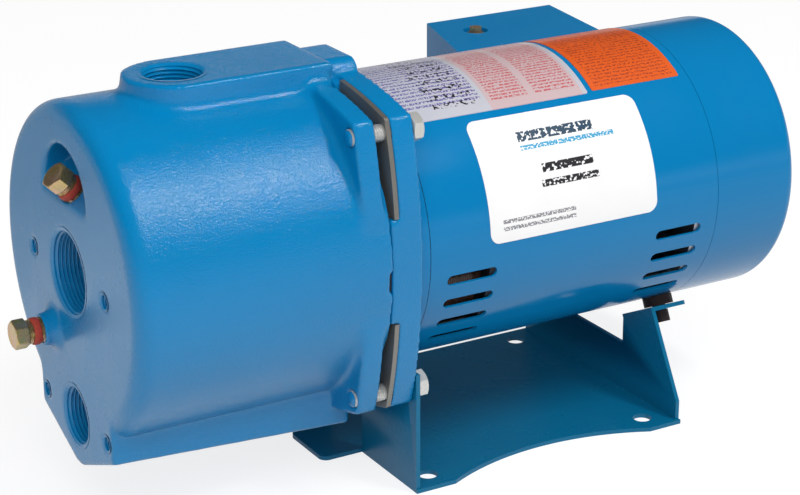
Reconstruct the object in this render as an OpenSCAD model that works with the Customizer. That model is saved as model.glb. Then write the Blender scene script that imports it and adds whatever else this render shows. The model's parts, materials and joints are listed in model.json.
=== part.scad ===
// Shallow well jet pump: cast pump casing, motor, and folded sheet base.
// Millimetres. Z = 0 is the underside of the base, and the origin is the centre of
// the four base holes. Most modules are written in the pump frame, whose X runs back
// from the casing's front face along the shaft and whose Z = 0 is the shaft axis;
// at_pump() places them.

/* [Frame] */
// Height of the shaft axis above the floor
axis_h = 137; // [125:1:150]
// Centre of the base holes behind the front leg
base_set = 89.7; // [84:0.1:96]

/* [Clearances] */
// Face clearance between neighbouring bodies
gap = 0.3; // [0.25:0.05:0.4]
// Radial clearance of bearing seats and fitted pins
fit = 0.05; // [0.02:0.01:0.08]
// Radial clearance of bolts in drilled holes
drill = 0.4; // [0.3:0.05:0.6]

/* [Casing] */
// Front face to the joint face
casing_len = 147; // [140:1:160]
// Barrel outside radius
body_r = 92.5; // [88:0.5:98]
// Barrel wall
body_wall = 8; // [6:0.5:10]
// Radius round the chamber's front corner
chamber_round = 6; // [4:0.5:10]
// Radius round the front edge
face_round = 10; // [6:0.5:14]
// Front wall
front_wall = 10; // [8:0.5:13]
// Flange thickness at the joint
flange_t = 16.5; // [14:0.5:20]
// Bolt ear thickness
ear_t = 13; // [10:0.5:14]

/* [Flange outline] */
// Middle of each side inside the barrel's surface
flange_in = 2; // [0:0.5:4]
// Middle of the bottom below the barrel
flange_under = 1; // [0:0.5:4]
// Wall between the bowed sides and the bolt holes
ear_wall = 1.3; // [1:0.1:3]
// Trimmed corner outside the bolt circle
corner_wall = 8.4; // [7:0.2:12]
// Top of the middle hump above the barrel
hump_over = 7; // [4:0.5:8]
// Radius of the hump's corners
hump_round = 8; // [5:0.5:12]
// Width of the middle hump
hump_w = 42; // [34:1:50]
// Pry slot length, in each side of the joint face
pry_len = 13; // [8:0.5:18]
// Pry slot width
pry_w = 2; // [1:0.1:3]
// Pry slot depth
pry_depth = 2.4; // [1:0.1:2.6]
// Middle of the pry slots below the shaft
pry_drop = 4.2; // [0:0.2:12]
// Bolt circle outside the barrel
bolt_out = 12.6; // [10:0.2:14]

/* [Ports] */
// Suction bore radius
suction_r = 23.2; // [21:0.1:24.5]
// Drive bore radius
drive_r = 16.4; // [15:0.1:18]
// Drive port below the suction port
drive_drop = 83; // [78:0.5:86]
// Discharge bore radius
discharge_r = 16.4; // [15:0.1:18]
// Discharge port back from the front face
discharge_x = 65.2; // [60:0.2:75]
// Top of the discharge boss above the barrel
boss_over = 9; // [8:0.5:14]
// Half width of the discharge boss
discharge_boss_r = 28; // [24:0.5:32]
// Chamfer at the port mouths
port_chamfer = 0.8; // [0.5:0.1:1.2]
// Tapped length of the front ports
port_tap = 26; // [20:1:32]
// Wall round the suction passage
passage_wall = 5; // [4:0.5:7]
// End of the drive passage in front of the flange
drive_set = 8; // [6:0.5:30]
// End of the suction passage in front of the impeller
passage_set = 20; // [17:0.5:25]
// Adapter screw spacing at the suction port
suction_screws = 96.8; // [90:0.2:102]
// Adapter screw spacing at the drive port
drive_screws = 83.7; // [78:0.2:88]
// Adapter screw hole radius
adapter_hole_r = 4.1; // [3:0.1:4.5]
// Adapter screw hole depth
adapter_hole_len = 16; // [12:0.5:20]

/* [Keel] */
// Keel half width
keel_half = 49.5; // [47:0.5:54]
// Keel's tip below the drive port's axis
keel_under = 30; // [25:0.5:34]
// Keel's corners above its tip
keel_rise = 20.5; // [17:0.5:24]
// Radius of the keel's tip
keel_round = 16; // [10:1:24]
// Slope of the keel, degrees
keel_slope = 3.2; // [0:0.1:4]

/* [Priming pocket] */
// Pocket radius
pocket_r = 28.6; // [26:0.2:30]
// Pocket centre above the shaft
pocket_z = 42.4; // [41:0.2:44]
// Height where the sloped floor meets the face
pocket_floor = 39.4; // [38:0.2:42]
// Wall behind the pocket
pocket_wall = 7; // [5:0.5:9]
// Plug back from the face, along X at the floor
priming_in = 6; // [5:0.2:9]

/* [Plugs] */
// Plug thread radius
plug_r = 6.8; // [6:0.1:7.5]
// Plug hexagon across flats
plug_af = 14.6; // [12.5:0.1:16]
// Plug head height
plug_head = 7.5; // [6:0.5:9]
// Bare thread between sealant and head
plug_neck = 3.2; // [2:0.2:6]
// Thread below the face
plug_depth = 8; // [6:0.5:10]
// Sealant ring width
sealant_w = 4.6; // [3:0.2:6]
// Sealant ring thickness
sealant_t = 0.7; // [0.5:0.1:1]
// Drain boss to the far side
drain_y = 24.4; // [20:0.2:28]
// Drain boss below the shaft
drain_drop = 39.4; // [36:0.2:44]
// Drain boss length from the face
drain_boss = 9; // [6:0.5:12]
// Drain boss radius
drain_boss_r = 9; // [8.5:0.1:11]
// Fillet at the foot of the drain boss
drain_flare = 6; // [2:0.5:8]

/* [Seal plate] */
// Gasket thickness
gasket_t = 0.8; // [0.5:0.1:1.2]
// Plate thickness
plate_t = 4.4; // [3.5:0.1:6]
// Thickness of its ears
plate_ear_t = 2.8; // [2:0.1:3.4]
// Plate's round body inside the flange's side
plate_in = 3; // [2.5:0.1:3.5]
// Start of the ears from the middle of each side
ear_from = 30; // [26:0.5:40]

/* [Shaft] */
// Shaft radius in the pump
shaft_pump_r = 7.95; // [7.5:0.05:8.2]
// Shaft radius at the bearings
shaft_bearing_r = 8.5; // [8.3:0.05:9]
// Shaft radius in the rotor
shaft_rotor_r = 11; // [10:0.5:13]
// Shaft radius at the rear end
shaft_tail_r = 7; // [6:0.1:7.5]
// Shaft nose in front of the impeller
shaft_nose = 7; // [4:0.5:9]
// Shaft end behind the motor shell
shaft_tail = 37.4; // [33:0.2:42]

/* [Impeller and diffuser] */
// Impeller radius
impeller_r = 56; // [50:1:60]
// Impeller width
impeller_w = 13; // [11:0.5:15]
// Impeller eye radius
eye_r = 17.5; // [15:0.5:19]
// Impeller in front of the joint face
impeller_set = 29; // [27:0.5:31]
// Diffuser inside the chamber's wall
diffuser_gap = 6.5; // [4:0.5:10]
// Diffuser snout inside the suction passage's wall
snout_gap = 1; // [0.6:0.1:2]
// Length of the snout inside the passage
snout_in = 12; // [8:1:16]
// Diffuser front wall
diffuser_wall = 3.5; // [2.5:0.1:5]
// Space between the diffuser and the impeller
impeller_gap = 2.5; // [1.5:0.1:4]
// Wall of the diffuser's snout
snout_wall = 3.5; // [2.5:0.1:4]
// Width of a diffuser vane
vane_w = 14; // [10:0.5:18]
// Diffuser vanes outside the impeller
vane_gap = 4; // [2:0.5:7]

/* [Motor] */
// Motor flange thickness
bell_flange = 13.4; // [11:0.2:16]
// Front bell's spigot length
bell_spigot = 10; // [8:0.5:12]
// Wall of the bells' spigots
bell_wall = 5; // [4:0.5:6]
// Rear bell's spigot length
bell_lip = 14; // [12:0.5:16]
// Shell outside radius
shell_r = 82.5; // [80:0.1:85]
// Shell wall
shell_t = 1.6; // [1.2:0.1:2.2]
// Shell length
shell_len = 203.4; // [196:0.2:212]
// Rear cover length
cover_len = 57.4; // [50:0.2:64]
// Rear cover edge radius
cover_round = 6; // [4:0.5:12]
// Stator core front, from the shell's front edge
core_in = 49; // [46:0.5:54]
// Stator core length
core_len = 85; // [70:1:92]
// Stator bore radius
stator_bore = 45; // [43:0.5:47]
// Rotor air gap
air_gap = 0.4; // [0.3:0.05:0.6]
// Overhang of the end windings
winding_len = 22; // [18:1:24]
// Through bolt radius
tie_r = 2.4; // [2:0.1:3]
// Through bolts inside the shell's wall
tie_in = 5.4; // [4.5:0.1:7]
// Width of the winding slots
winding_w = 4.8; // [4:0.1:5.4]
// Depth of the winding slots
winding_depth = 15; // [12:0.5:17]
// Radius of the rear bell's vents
vent_r = 9; // [7:0.5:10]
// Rear bell's vents outside its hub
vent_out = 11; // [10:0.5:12]
// Cooling fan radius
fan_r = 40; // [34:1:44]

/* [Cooling slots] */
// Slot length
slot_len = 32; // [24:1:36]
// Slot width
slot_w = 6.2; // [5:0.1:7]
// Slots in each row
slot_n = 4; // [3:1:4]
// Angle between slots
slot_step = 10.8; // [9:0.1:12]
// First slot below the middle, degrees
slot_first = 10.4; // [8:0.1:14]
// Front slots back from the shell's front edge
slot_front = 20.6; // [18:0.2:26]
// Rear slots forward of the shell's rear edge
slot_rear = 10.7; // [9:0.1:14]

/* [Bearings] */
// Bearing outside radius
bearing_r = 20; // [19:0.5:21]
// Bearing width
bearing_w = 12; // [11:0.5:13]
// Ball radius
ball_r = 3.35; // [3:0.05:3.5]
// Wall round the bearing seats
hub_wall = 7; // [5:0.5:9]
// Number of balls
ball_n = 8; // [6:1:8]

/* [Switch] */
// Length of the governor collar
collar_len = 5; // [4:0.5:6]
// Travel of the governor collar
collar_travel = 3; // [2:0.1:3.5]
// Collar flange radius
collar_r = 16; // [14:0.5:18]
// Switch arm length
arm_len = 20; // [17:0.5:22]

/* [Terminal box] */
// Capacitor outside the motor shell
cap_gap = 3.3; // [2.5:0.1:5]
// Capacitor above the far side, degrees
cap_angle = 38.5; // [36:0.5:42]
// Near edge of the box past where its top meets the shell
box_edge = 1.1; // [0.5:0.1:3]
// Box bottom above the shaft
box_low = 8; // [4:0.5:14]
// Box wall
box_wall = 1.6; // [1.2:0.1:2.2]
// Box front end behind the shell's front edge, at the near edge
box_set = 93.8; // [86:0.2:100]
// Box length at the near edge
box_len = 100; // [92:0.5:104]
// Set back of the front end at the far wall
box_skew = 18; // [10:0.5:22]
// Set back of the rear end at the far wall
box_rear_skew = 8; // [0:0.5:10]
// Capacitor radius
cap_r = 14; // [12:0.5:14.5]
// Capacitor length
cap_len = 50; // [40:1:52]
// Length of the capacitor's tabs
cap_tab = 4; // [3:0.5:6]
// Width of the box bracket
bracket_w = 12; // [10:0.5:16]
// Conduit hole radius
conduit_r = 11.1; // [10:0.1:12]

/* [Base] */
// Sheet thickness
sheet_t = 2.5; // [2:0.1:3.2]
// Base hole spacing along the shaft
base_hole_x = 149; // [140:0.5:156]
// Base holes in from the long edges
hole_in = 14; // [12:0.5:17]
// Base hole radius
base_hole_r = 5.5; // [4.5:0.1:6.5]
// Long edges outside the lower flange bolts
base_side = 9.2; // [8:0.2:13]
// Depth of the waist in the near long edge
waist = 16; // [10:0.5:20]
// Radius of the waist
waist_r = 150; // [130:1:170]
// Rear leg's outer face behind the base centre
rear_leg = 92.6; // [88:0.2:98]
// Front leg's cut-out outside the shell
leg_gap = 3; // [2:0.5:5]
// Angle of the tabs from straight down
tab_angle = 26.2; // [24:0.1:30]
// Length of the rear tabs
tab_len = 23; // [18:0.5:26]
// Tabs outside the motor shell
tab_gap = 6.1; // [4.5:0.1:8]
// Tab width round the shaft
tab_w = 32; // [26:0.5:36]
// Tongue length in front of the front leg
tongue_len = 26; // [20:0.5:30]
// Tongue half width
tongue_half = 20.5; // [16:0.5:26]
// Rubber bumper radius
bumper_r = 9; // [7:0.2:10]

/* [Bolts] */
// Flange bolt radius
bolt_r = 4.76; // [4.4:0.02:5]
// Flange bolt hexagon across flats
bolt_af = 14.3; // [13:0.1:15.5]
// Flange bolt head height
bolt_head = 6; // [5:0.2:7]
// Bolt end in front of the ears
bolt_tip = 1.5; // [0.5:0.1:3]
// Chamfer at the bolt end
bolt_chamfer = 1.4; // [0.8:0.1:2]

/* [Labels] */
// Label thickness
label_t = 0.3; // [0.2:0.05:0.4]
// Name plate length
plate_len = 112; // [100:1:118]
// Name plate front end behind the shell's front edge
name_in = 47.5; // [44:0.5:52]
// Name plate lower edge, degrees up from the near side
plate_a0 = 1; // [0:0.5:6]
// Name plate upper edge, degrees up from the near side
plate_a1 = 50.3; // [44:0.5:52]
// Upper labels' lower edge, degrees up from the near side
band_a0 = 53.7; // [53:0.1:58]
// Rating label front end behind the shell's front edge
rating_in = 4; // [2:0.5:8]
// Rating label length
rating_len = 129; // [100:1:132]
// Radius of the name plate's corners
name_round = 6; // [3:0.5:8]
// Orange label behind the rating label
orange_in = 3.5; // [1:0.5:6]
// Orange label length
orange_len = 61; // [40:1:64]

/* [Hidden] */
$fn = 96;
// Stations along X, from the front face
flange_x = casing_len - flange_t;
gasket_x = casing_len;
plate_x = gasket_x + gasket_t;
bell_x = plate_x + plate_t + gap;
shell_x = bell_x + bell_flange + gap;
shell_end = shell_x + shell_len;
cover_x = shell_end + gap;
cover_end = cover_x + cover_len;
bearing1_x = bell_x + 10.4;
bearing2_x = shell_end - 24.5;
core_x = shell_x + core_in;
core_end = core_x + core_len;
leg_x = bell_x + bell_flange + gap;
leg_back = leg_x + sheet_t;
face_to_base = leg_x + base_set;
rear_leg_x = face_to_base + rear_leg;
impeller_x = casing_len - impeller_set;
impeller_end = impeller_x + impeller_w;
passage_end = impeller_x - passage_set;
drive_end = flange_x - drive_set;
diffuser_x = impeller_x - impeller_gap - diffuser_wall;
snout_x = passage_end - snout_in;
seal_x = plate_x - 3.3;
// Shared radii and half sizes
shell_in = shell_r - shell_t;
chamber_r = body_r - body_wall;
flange_side = body_r - flange_in;
flange_low = body_r + flange_under;
hump_h = body_r + hump_over;
discharge_h = body_r + boss_over;
bolt_circle = body_r + bolt_out;
bolt_half = bolt_circle / sqrt(2);
flange_corner = bolt_circle + corner_wall;
flange_sag = flange_side - bolt_half - bolt_r - drill - ear_wall;
flange_bow = (pow(bolt_half, 2) + pow(flange_sag, 2)) / (flange_sag * 2);
keel_tip = drive_drop + keel_under;
keel_corner = keel_tip - keel_rise;
plate_r = flange_side - plate_in;
diffuser_r = chamber_r - diffuser_gap;
diffuser_screw_r = diffuser_r - 6;
vane_in = impeller_r + vane_gap;
spigot_r = shell_in - gap;
tie_circle = shell_in - tie_in;
ball_circle = (bearing_r + shaft_bearing_r) / 2;
race_in = ball_circle - 2.15;
race_out = ball_circle + 2.35;
race_gap = 0.06;
passage_r = suction_r - 1.2;
passage_out = passage_r + passage_wall;
snout_r = passage_r - snout_gap;
snout_in_r = snout_r - snout_wall;
rotor_r = stator_bore - air_gap;
seat_r = shaft_pump_r + 5.1;
cup_r = seat_r + 2;
hex_k = 1 / cos(30);
hub_r = bearing_r + hub_wall;
vent_circle = hub_r + vent_r + vent_out;
label_r = shell_r + fit;
cap_y = (shell_r + cap_gap + cap_r) * cos(cap_angle);
cap_z = (shell_r + cap_gap + cap_r) * sin(cap_angle);
box_top = cap_z + cap_r + gap + box_wall;
box_out = cap_y + cap_r + gap + box_wall;
box_x0 = shell_x + box_set;
box_x1 = box_x0 + box_len;
box_in = sqrt(pow(shell_r, 2) - pow(box_top, 2)) + box_edge;
band_a1 = 90 + asin(box_in / shell_r) - 2;
box_screw_x = box_x0 + 35;
cap_x = box_screw_x + bracket_w / 2 + gap + cap_tab;
box_screw_y = (box_in + box_out) / 2 + 4;
dimple_d = 2.4;
collar_x = shell_end + 6.4;
governor_x = collar_x + collar_len + collar_travel + 1.6;
switch_x = shell_end + 0.6;
switch_t = 2.2;
arm_z = collar_r - 4;
cover_screw_r = 2;
cover_screw_z = 52;
bumper_x = rear_leg_x + 14.2;
tab_r = shell_r + tab_gap;
base_half = bolt_half + base_side;
base_hole_y = (base_half - hole_in) * 2;
shaft_front = impeller_x - shaft_nose;
shaft_end = shell_end + shaft_tail;

// ---- helpers ----------------------------------------------------------------

module at_pump() {
  translate([-face_to_base, 0, axis_h])
    children();
}

// Profile drawn as (Y, Z), pushed back along X.
module push(x0, len) {
  translate([x0, 0, 0])
    rotate([90, 0, 90])
      linear_extrude(len)
        children();
}

// Profile drawn as (radius, X), turned about the shaft.
module turn() {
  rotate([0, 90, 0])
    rotate_extrude()
      children();
}

module rod(x0, len, r) {
  translate([x0, 0, 0])
    rotate([0, 90, 0])
      cylinder(r = r, h = len);
}

module ring(x0, len, ro, ri) {
  turn()
    translate([ri, x0])
      square([ro - ri, len]);
}

module hex_rod(x0, len, af) {
  translate([x0, 0, 0])
    rotate([0, 90, 0])
      cylinder(r = af / 2 * hex_k, h = len, $fn = 6);
}

module at_flange_bolts(rows = [-1, 1]) {
  for (sy = [-1, 1], sz = rows)
    translate([0, sy * bolt_half, sz * bolt_half])
      children();
}

module at_ties() {
  for (a = [45 : 90 : 315])
    rotate([a, 0, 0])
      translate([0, tie_circle, 0])
        children();
}

// ---- casing -----------------------------------------------------------------

// Bowed square with trimmed corners: pump flange, seal plate and motor flange.
module bowed_square() {
  intersection() {
    circle(r = flange_corner);
    translate([flange_bow - flange_side, 0])
      circle(r = flange_bow);
    translate([flange_side - flange_bow, 0])
      circle(r = flange_bow);
    translate([0, flange_bow - flange_low])
      circle(r = flange_bow);
    translate([0, flange_low - flange_bow])
      circle(r = flange_bow);
  }
}

module hump() {
  translate([-hump_w / 2, 0])
    square([hump_w, hump_h - hump_round]);
  translate([-hump_w / 2 + hump_round, 0])
    square([hump_w - hump_round * 2, hump_h]);
  for (s = [-1, 1])
    translate([s * (hump_w / 2 - hump_round), hump_h - hump_round])
      circle(r = hump_round);
}

module flange_outline() {
  bowed_square();
  hump();
}

module keel_outline() {
  run = sqrt(pow(keel_half, 2) + pow(keel_tip - keel_corner, 2));
  lift = keel_round * run / keel_half;
  difference() {
    polygon([[-keel_half, 0], [-keel_half, -keel_corner], [0, -keel_tip],
      [keel_half, -keel_corner], [keel_half, 0]]);
    difference() {
      translate([-keel_round, -keel_tip - 1])
        square([keel_round * 2, keel_round * 0.12 + 1]);
      translate([0, -keel_tip + lift])
        circle(r = keel_round);
    }
  }
}

module pocket_space(grow = 0) {
  intersection() {
    push(-1, casing_len / 3)
      translate([0, pocket_z])
        circle(r = pocket_r + grow);
    translate([0, 0, pocket_floor - grow * 1.4142])
      rotate([0, -45, 0])
        translate([-pocket_r * 2, -pocket_r * 2, 0])
          cube([casing_len, pocket_r * 4, casing_len]);
  }
}

// The priming plug stands square to the pocket's floor, which faces up and forward.
module at_priming() {
  translate([priming_in, 0, pocket_floor + priming_in])
    rotate([0, -45, 0])
      children();
}

module at_drain() {
  translate([-drain_boss, drain_y, -drain_drop])
    children();
}

module casing_outside() {
  turn()
    difference() {
      square([body_r, casing_len]);
      translate([body_r - face_round, 0])
        difference() {
          square([face_round + 1, face_round]);
          translate([0, face_round])
            circle(r = face_round);
        }
    }
  intersection() {
    rotate([0, keel_slope, 0])
      push(-20, casing_len + 20)
        keel_outline();
    translate([0, -keel_half * 2, -keel_tip * 2])
      cube([casing_len, keel_half * 4, keel_tip * 2]);
  }
  translate([discharge_x, 0, 0])
    cylinder(r = discharge_boss_r, h = discharge_h);
  translate([discharge_x, -discharge_boss_r, 0])
    cube([casing_len - discharge_x, discharge_boss_r * 2, discharge_h]);
  push(flange_x, ear_t)
    bowed_square();
  intersection() {
    push(flange_x, flange_t)
      bowed_square();
    rod(flange_x, flange_t, flange_low);
  }
  translate([0, drain_y, -drain_drop]) {
    rod(-drain_boss, drain_boss + front_wall, drain_boss_r);
    turn()
      difference() {
        translate([0, -drain_flare])
          square([drain_boss_r + drain_flare, drain_flare + front_wall / 2]);
        translate([drain_boss_r + drain_flare, -drain_flare])
          circle(r = drain_flare);
      }
  }
}

module casing_chamber() {
  difference() {
    turn()
      translate([0, front_wall])
        difference() {
          square([chamber_r, casing_len]);
          translate([chamber_r - chamber_round, 0])
            difference() {
              square([chamber_round + 1, chamber_round]);
              translate([0, chamber_round])
                circle(r = chamber_round);
            }
        }
    rod(0, passage_end, passage_out);
    translate([0, 0, -drive_drop])
      rod(0, port_tap + passage_wall * 3.2, drive_r + passage_wall);
    pocket_space(pocket_wall);
  }
}

module pump_casing() {
  color("SteelBlue")
    at_pump()
      difference() {
        casing_outside();
        casing_chamber();
        pocket_space();
        // Suction passage, with the tapped mouth
        rod(-1, passage_end + 2, passage_r);
        rod(-1, port_tap + 1, suction_r);
        turn()
          polygon([[0, -1], [suction_r + port_chamfer + 1, -1],
            [suction_r, port_chamfer], [0, port_chamfer]]);
        // Drive port, its passage open to the chamber along the keel
        translate([0, 0, -drive_drop]) {
          rod(-1, port_tap + 1, drive_r);
          rod(0, drive_end, drive_r - 2);
          turn()
            polygon([[0, -1], [drive_r + port_chamfer + 1, -1],
              [drive_r, port_chamfer], [0, port_chamfer]]);
        }
        // Discharge port
        translate([discharge_x, 0, 0]) {
          translate([0, 0, chamber_r - 8])
            cylinder(r = discharge_r, h = discharge_h);
          translate([0, 0, discharge_h - port_chamfer])
            rotate_extrude()
              polygon([[0, 0], [discharge_r, 0],
                [discharge_r + port_chamfer + 1, port_chamfer + 1], [0, port_chamfer + 1]]);
        }
        // Tapped holes beside the front ports
        for (s = [-1, 1]) {
          translate([0, s * suction_screws / 2, 0])
            rod(-1, front_wall - 1, adapter_hole_r);
          translate([0, s * drive_screws / 2, -drive_drop])
            rod(-1, adapter_hole_len + 1, adapter_hole_r);
        }
        at_drain()
          rod(-1, drain_boss + front_wall + 2, plug_r + fit);
        at_priming()
          translate([0, 0, -pocket_wall - 5])
            cylinder(r = plug_r + fit, h = pocket_wall + 6);
        at_flange_bolts()
          rod(flange_x - 1, flange_t, bolt_r + fit);
        for (s = [-1, 1])
          translate([casing_len - pry_w, s * flange_side - pry_depth, -pry_drop - pry_len / 2])
            cube([pry_w + 1, pry_depth * 2, pry_len]);
      }
}

module casing_gasket() {
  color("DarkSlateGray")
    at_pump()
      ring(gasket_x, gasket_t, plate_r - gap, chamber_r);
}

module seal_plate() {
  color("Silver")
    at_pump()
      difference() {
        union() {
          rod(plate_x, plate_t, plate_r);
          push(plate_x + plate_t - plate_ear_t, plate_ear_t)
            intersection() {
              bowed_square();
              plate_corners(ear_from);
            }
          plate_hub();
        }
        rod(seal_x - 5, 5 + 5.4 + gap, cup_r + fit);
        rod(seal_x, casing_len, shaft_pump_r + 2.5);
        at_flange_bolts()
          rod(plate_x - 1, plate_t + 2, bolt_r + drill);
        for (a = [0 : 120 : 240])
          rotate([a, 0, 0])
            translate([0, 0, diffuser_screw_r])
              rod(plate_x - 1, plate_t - 0.6, 2.1);
      }
}

module plate_corners(from) {
  for (sy = [-1, 1], sz = [-1, 1])
    scale([sy, sz])
      translate([from, from])
        square(bolt_circle);
}

module plate_hub() {
  rod(seal_x, plate_x - seal_x + 1, cup_r + 4);
}

module diffuser() {
  x1 = plate_x - gap;
  x0 = diffuser_x;
  color("DimGray")
    at_pump()
      difference() {
        union() {
          ring(x0, diffuser_wall, diffuser_r, snout_in_r);
          ring(snout_x, x0 - snout_x + 1, snout_r, snout_in_r);
          for (a = [0 : 60 : 300])
            rotate([a, 0, 0])
              translate([x0, -vane_w / 2, vane_in + 1])
                cube([x1 - x0, vane_w, diffuser_r - vane_in - 3]);
        }
        ring(snout_x + 3, 3.2, snout_r + 1, snout_r - 1.4);
        for (a = [0 : 120 : 240])
          rotate([a, 0, 0])
            translate([0, 0, diffuser_screw_r])
              rod(x0 - 1, x1 - x0 + 2, 2.1 + gap);
      }
}

module diffuser_ring() {
  color("Black")
    at_pump()
      ring(snout_x + 3.1, 3, passage_r - fit, snout_r - 1.4 + fit);
}

module diffuser_screws() {
  x0 = diffuser_x;
  color("Silver")
    at_pump()
      for (a = [0 : 120 : 240])
        rotate([a, 0, 0])
          translate([0, 0, diffuser_screw_r]) {
            rod(x0 - 3, 3, 4);
            rod(x0 - 0.5, plate_x + plate_t - 1.9 - x0, 2.1 - fit);
          }
}

module impeller() {
  color("Khaki")
    at_pump()
      difference() {
        union() {
          ring(impeller_x, 2, impeller_r, eye_r);
          ring(impeller_x - 2, 3, eye_r + 2.4, eye_r);
          rod(impeller_end - 2.4, 2.4, impeller_r);
          rod(impeller_x + 1, impeller_w - 1, 13);
          for (a = [0 : 60 : 300])
            rotate([a, 0, 0])
              translate([0, 0, 24])
                rotate([-35, 0, 0])
                  translate([impeller_x + 1, -1.2, -4])
                    cube([impeller_w - 2, 2.4, impeller_r - 24]);
        }
        ring(impeller_x - 3, impeller_w + 6, impeller_r * 2, impeller_r);
        rod(impeller_x - 4, impeller_w + 8, shaft_pump_r + 1.5 + fit);
      }
}

module impeller_insert() {
  color("Goldenrod")
    at_pump()
      ring(impeller_x + 1, impeller_w - 1, shaft_pump_r + 1.5, shaft_pump_r - 1.2 + fit);
}

module seal_seat() {
  color("White")
    at_pump()
      ring(seal_x, 4.4, seat_r, shaft_pump_r + 1.4);
}

module seal_seat_cup() {
  color("Black")
    at_pump()
      difference() {
        ring(seal_x + 0.2, 5.2, cup_r, shaft_pump_r + 2.6);
        ring(seal_x - 1, 5.5, seat_r + fit, 1);
      }
}

module seal_head() {
  color("DarkSlateGray")
    at_pump() {
      ring(seal_x - 3 - gap, 3, seat_r - 1, shaft_pump_r + fit);
      ring(seal_x - 6 - gap, 3.5, seat_r - 3, shaft_pump_r + fit);
    }
}

module seal_spring() {
  n = 12;
  turns = 2.5;
  x0 = impeller_end + 2.1;
  x1 = seal_x - 6 - gap * 2 - 0.9;
  r = seat_r - 3.2;
  color("LightGray")
    at_pump()
      for (i = [0 : n * turns - 1]) {
        a = i * 360 / n;
        b = (i + 1) * 360 / n;
        hull() {
          translate([x0 + (x1 - x0) * i / (n * turns), r * cos(a), r * sin(a)])
            rotate([a, 0, 0])
              cylinder(r = 0.6, h = 0.1, center = true, $fn = 6);
          translate([x0 + (x1 - x0) * (i + 1) / (n * turns), r * cos(b), r * sin(b)])
            rotate([b, 0, 0])
              cylinder(r = 0.6, h = 0.1, center = true, $fn = 6);
        }
      }
}

module seal_retainer() {
  color("Silver")
    at_pump()
      ring(impeller_end + gap, 1, seat_r - 1, shaft_pump_r + fit);
}

module shaft_slinger() {
  color("Black")
    at_pump() {
      ring(plate_x + plate_t + 1, 2, shaft_pump_r + 5.5, shaft_pump_r + fit);
      ring(plate_x + plate_t + 1, 4.4, shaft_pump_r + 2.6, shaft_pump_r + fit);
    }
}

// Hex plug on its own axis: Z = 0 is the face that it enters, +Z out of the hole.
module plug_body() {
  z0 = sealant_w + plug_neck;
  translate([0, 0, -plug_depth])
    cylinder(r = plug_r, h = plug_depth + z0 + 0.5);
  intersection() {
    translate([0, 0, z0])
      cylinder(r = plug_af / 2 * hex_k, h = plug_head, $fn = 6);
    translate([0, 0, z0 - plug_af * 1.45 + plug_head])
      sphere(r = plug_af * 1.5);
  }
}

module plug_sealant() {
  difference() {
    translate([0, 0, gap])
      cylinder(r = plug_r + sealant_t, h = sealant_w);
    translate([0, 0, -1])
      cylinder(r = plug_r + fit, h = sealant_w + 2);
  }
}

module drain_plug() {
  color("DarkKhaki")
    at_pump()
      at_drain()
        rotate([0, -90, 0])
          rotate([0, 0, 12])
            plug_body();
}

module drain_plug_sealant() {
  color("Firebrick")
    at_pump()
      at_drain()
        rotate([0, -90, 0])
          plug_sealant();
}

module priming_plug() {
  color("DarkKhaki")
    at_pump()
      at_priming()
        rotate([0, 0, 30])
          plug_body();
}

module priming_plug_sealant() {
  color("Firebrick")
    at_pump()
      at_priming()
        plug_sealant();
}

// ---- flange bolts -----------------------------------------------------------

// Hexagon head with its outer corners turned off; the bearing face is at x0.
module hex_head(x0, len, af) {
  intersection() {
    hex_rod(x0, len, af);
    turn()
      polygon([[0, x0 - 1], [af, x0 - 1], [af, x0 + len - af * 0.3],
        [af * 0.48, x0 + len], [0, x0 + len]]);
  }
}

module flange_bolt(head_x) {
  x0 = flange_x - bolt_tip;
  turn()
    polygon([[0, x0], [bolt_r - bolt_chamfer, x0], [bolt_r, x0 + bolt_chamfer],
      [bolt_r, head_x + 0.5], [0, head_x + 0.5]]);
  hex_head(head_x, bolt_head, bolt_af);
}

module flange_bolts() {
  color("Gold")
    at_pump() {
      at_flange_bolts([1])
        flange_bolt(bell_x + bell_flange + gap);
      at_flange_bolts([-1])
        flange_bolt(leg_back + gap);
    }
}

// ---- motor ------------------------------------------------------------------

// Raised rim round the seal plate, cut away for the plate's ears.
module bell_rim() {
  difference() {
    union() {
      intersection() {
        bowed_square();
        circle(r = flange_low - gap);
      }
      hump();
    }
    circle(r = plate_r + gap);
    plate_corners(ear_from - gap);
  }
}

module motor_front_bell() {
  hub_end = bearing1_x + bearing_w + 1.6;
  color("SteelBlue")
    at_pump()
      difference() {
        union() {
          push(bell_x, bell_flange)
            flange_outline();
          push(gasket_x + gap, bell_x + 1 - gasket_x - gap)
            bell_rim();
          ring(bell_x + bell_flange - 1, bell_spigot + 1, spigot_r, spigot_r - bell_wall);
          rod(bell_x, hub_end - bell_x, hub_r);
        }
        rod(bell_x - 1, 20, shaft_pump_r + 7);
        rod(bearing1_x - gap, 40, bearing_r + fit);
        // Relief behind the flange, inside the spigot
        ring(bell_x + bell_flange / 2, 20, spigot_r - bell_wall - 3, hub_r);
        at_flange_bolts()
          rod(bell_x - 1, bell_flange + 2, bolt_r + drill);
        at_ties()
          rod(bell_x + 4, 30, tie_r + fit);
      }
}

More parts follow.
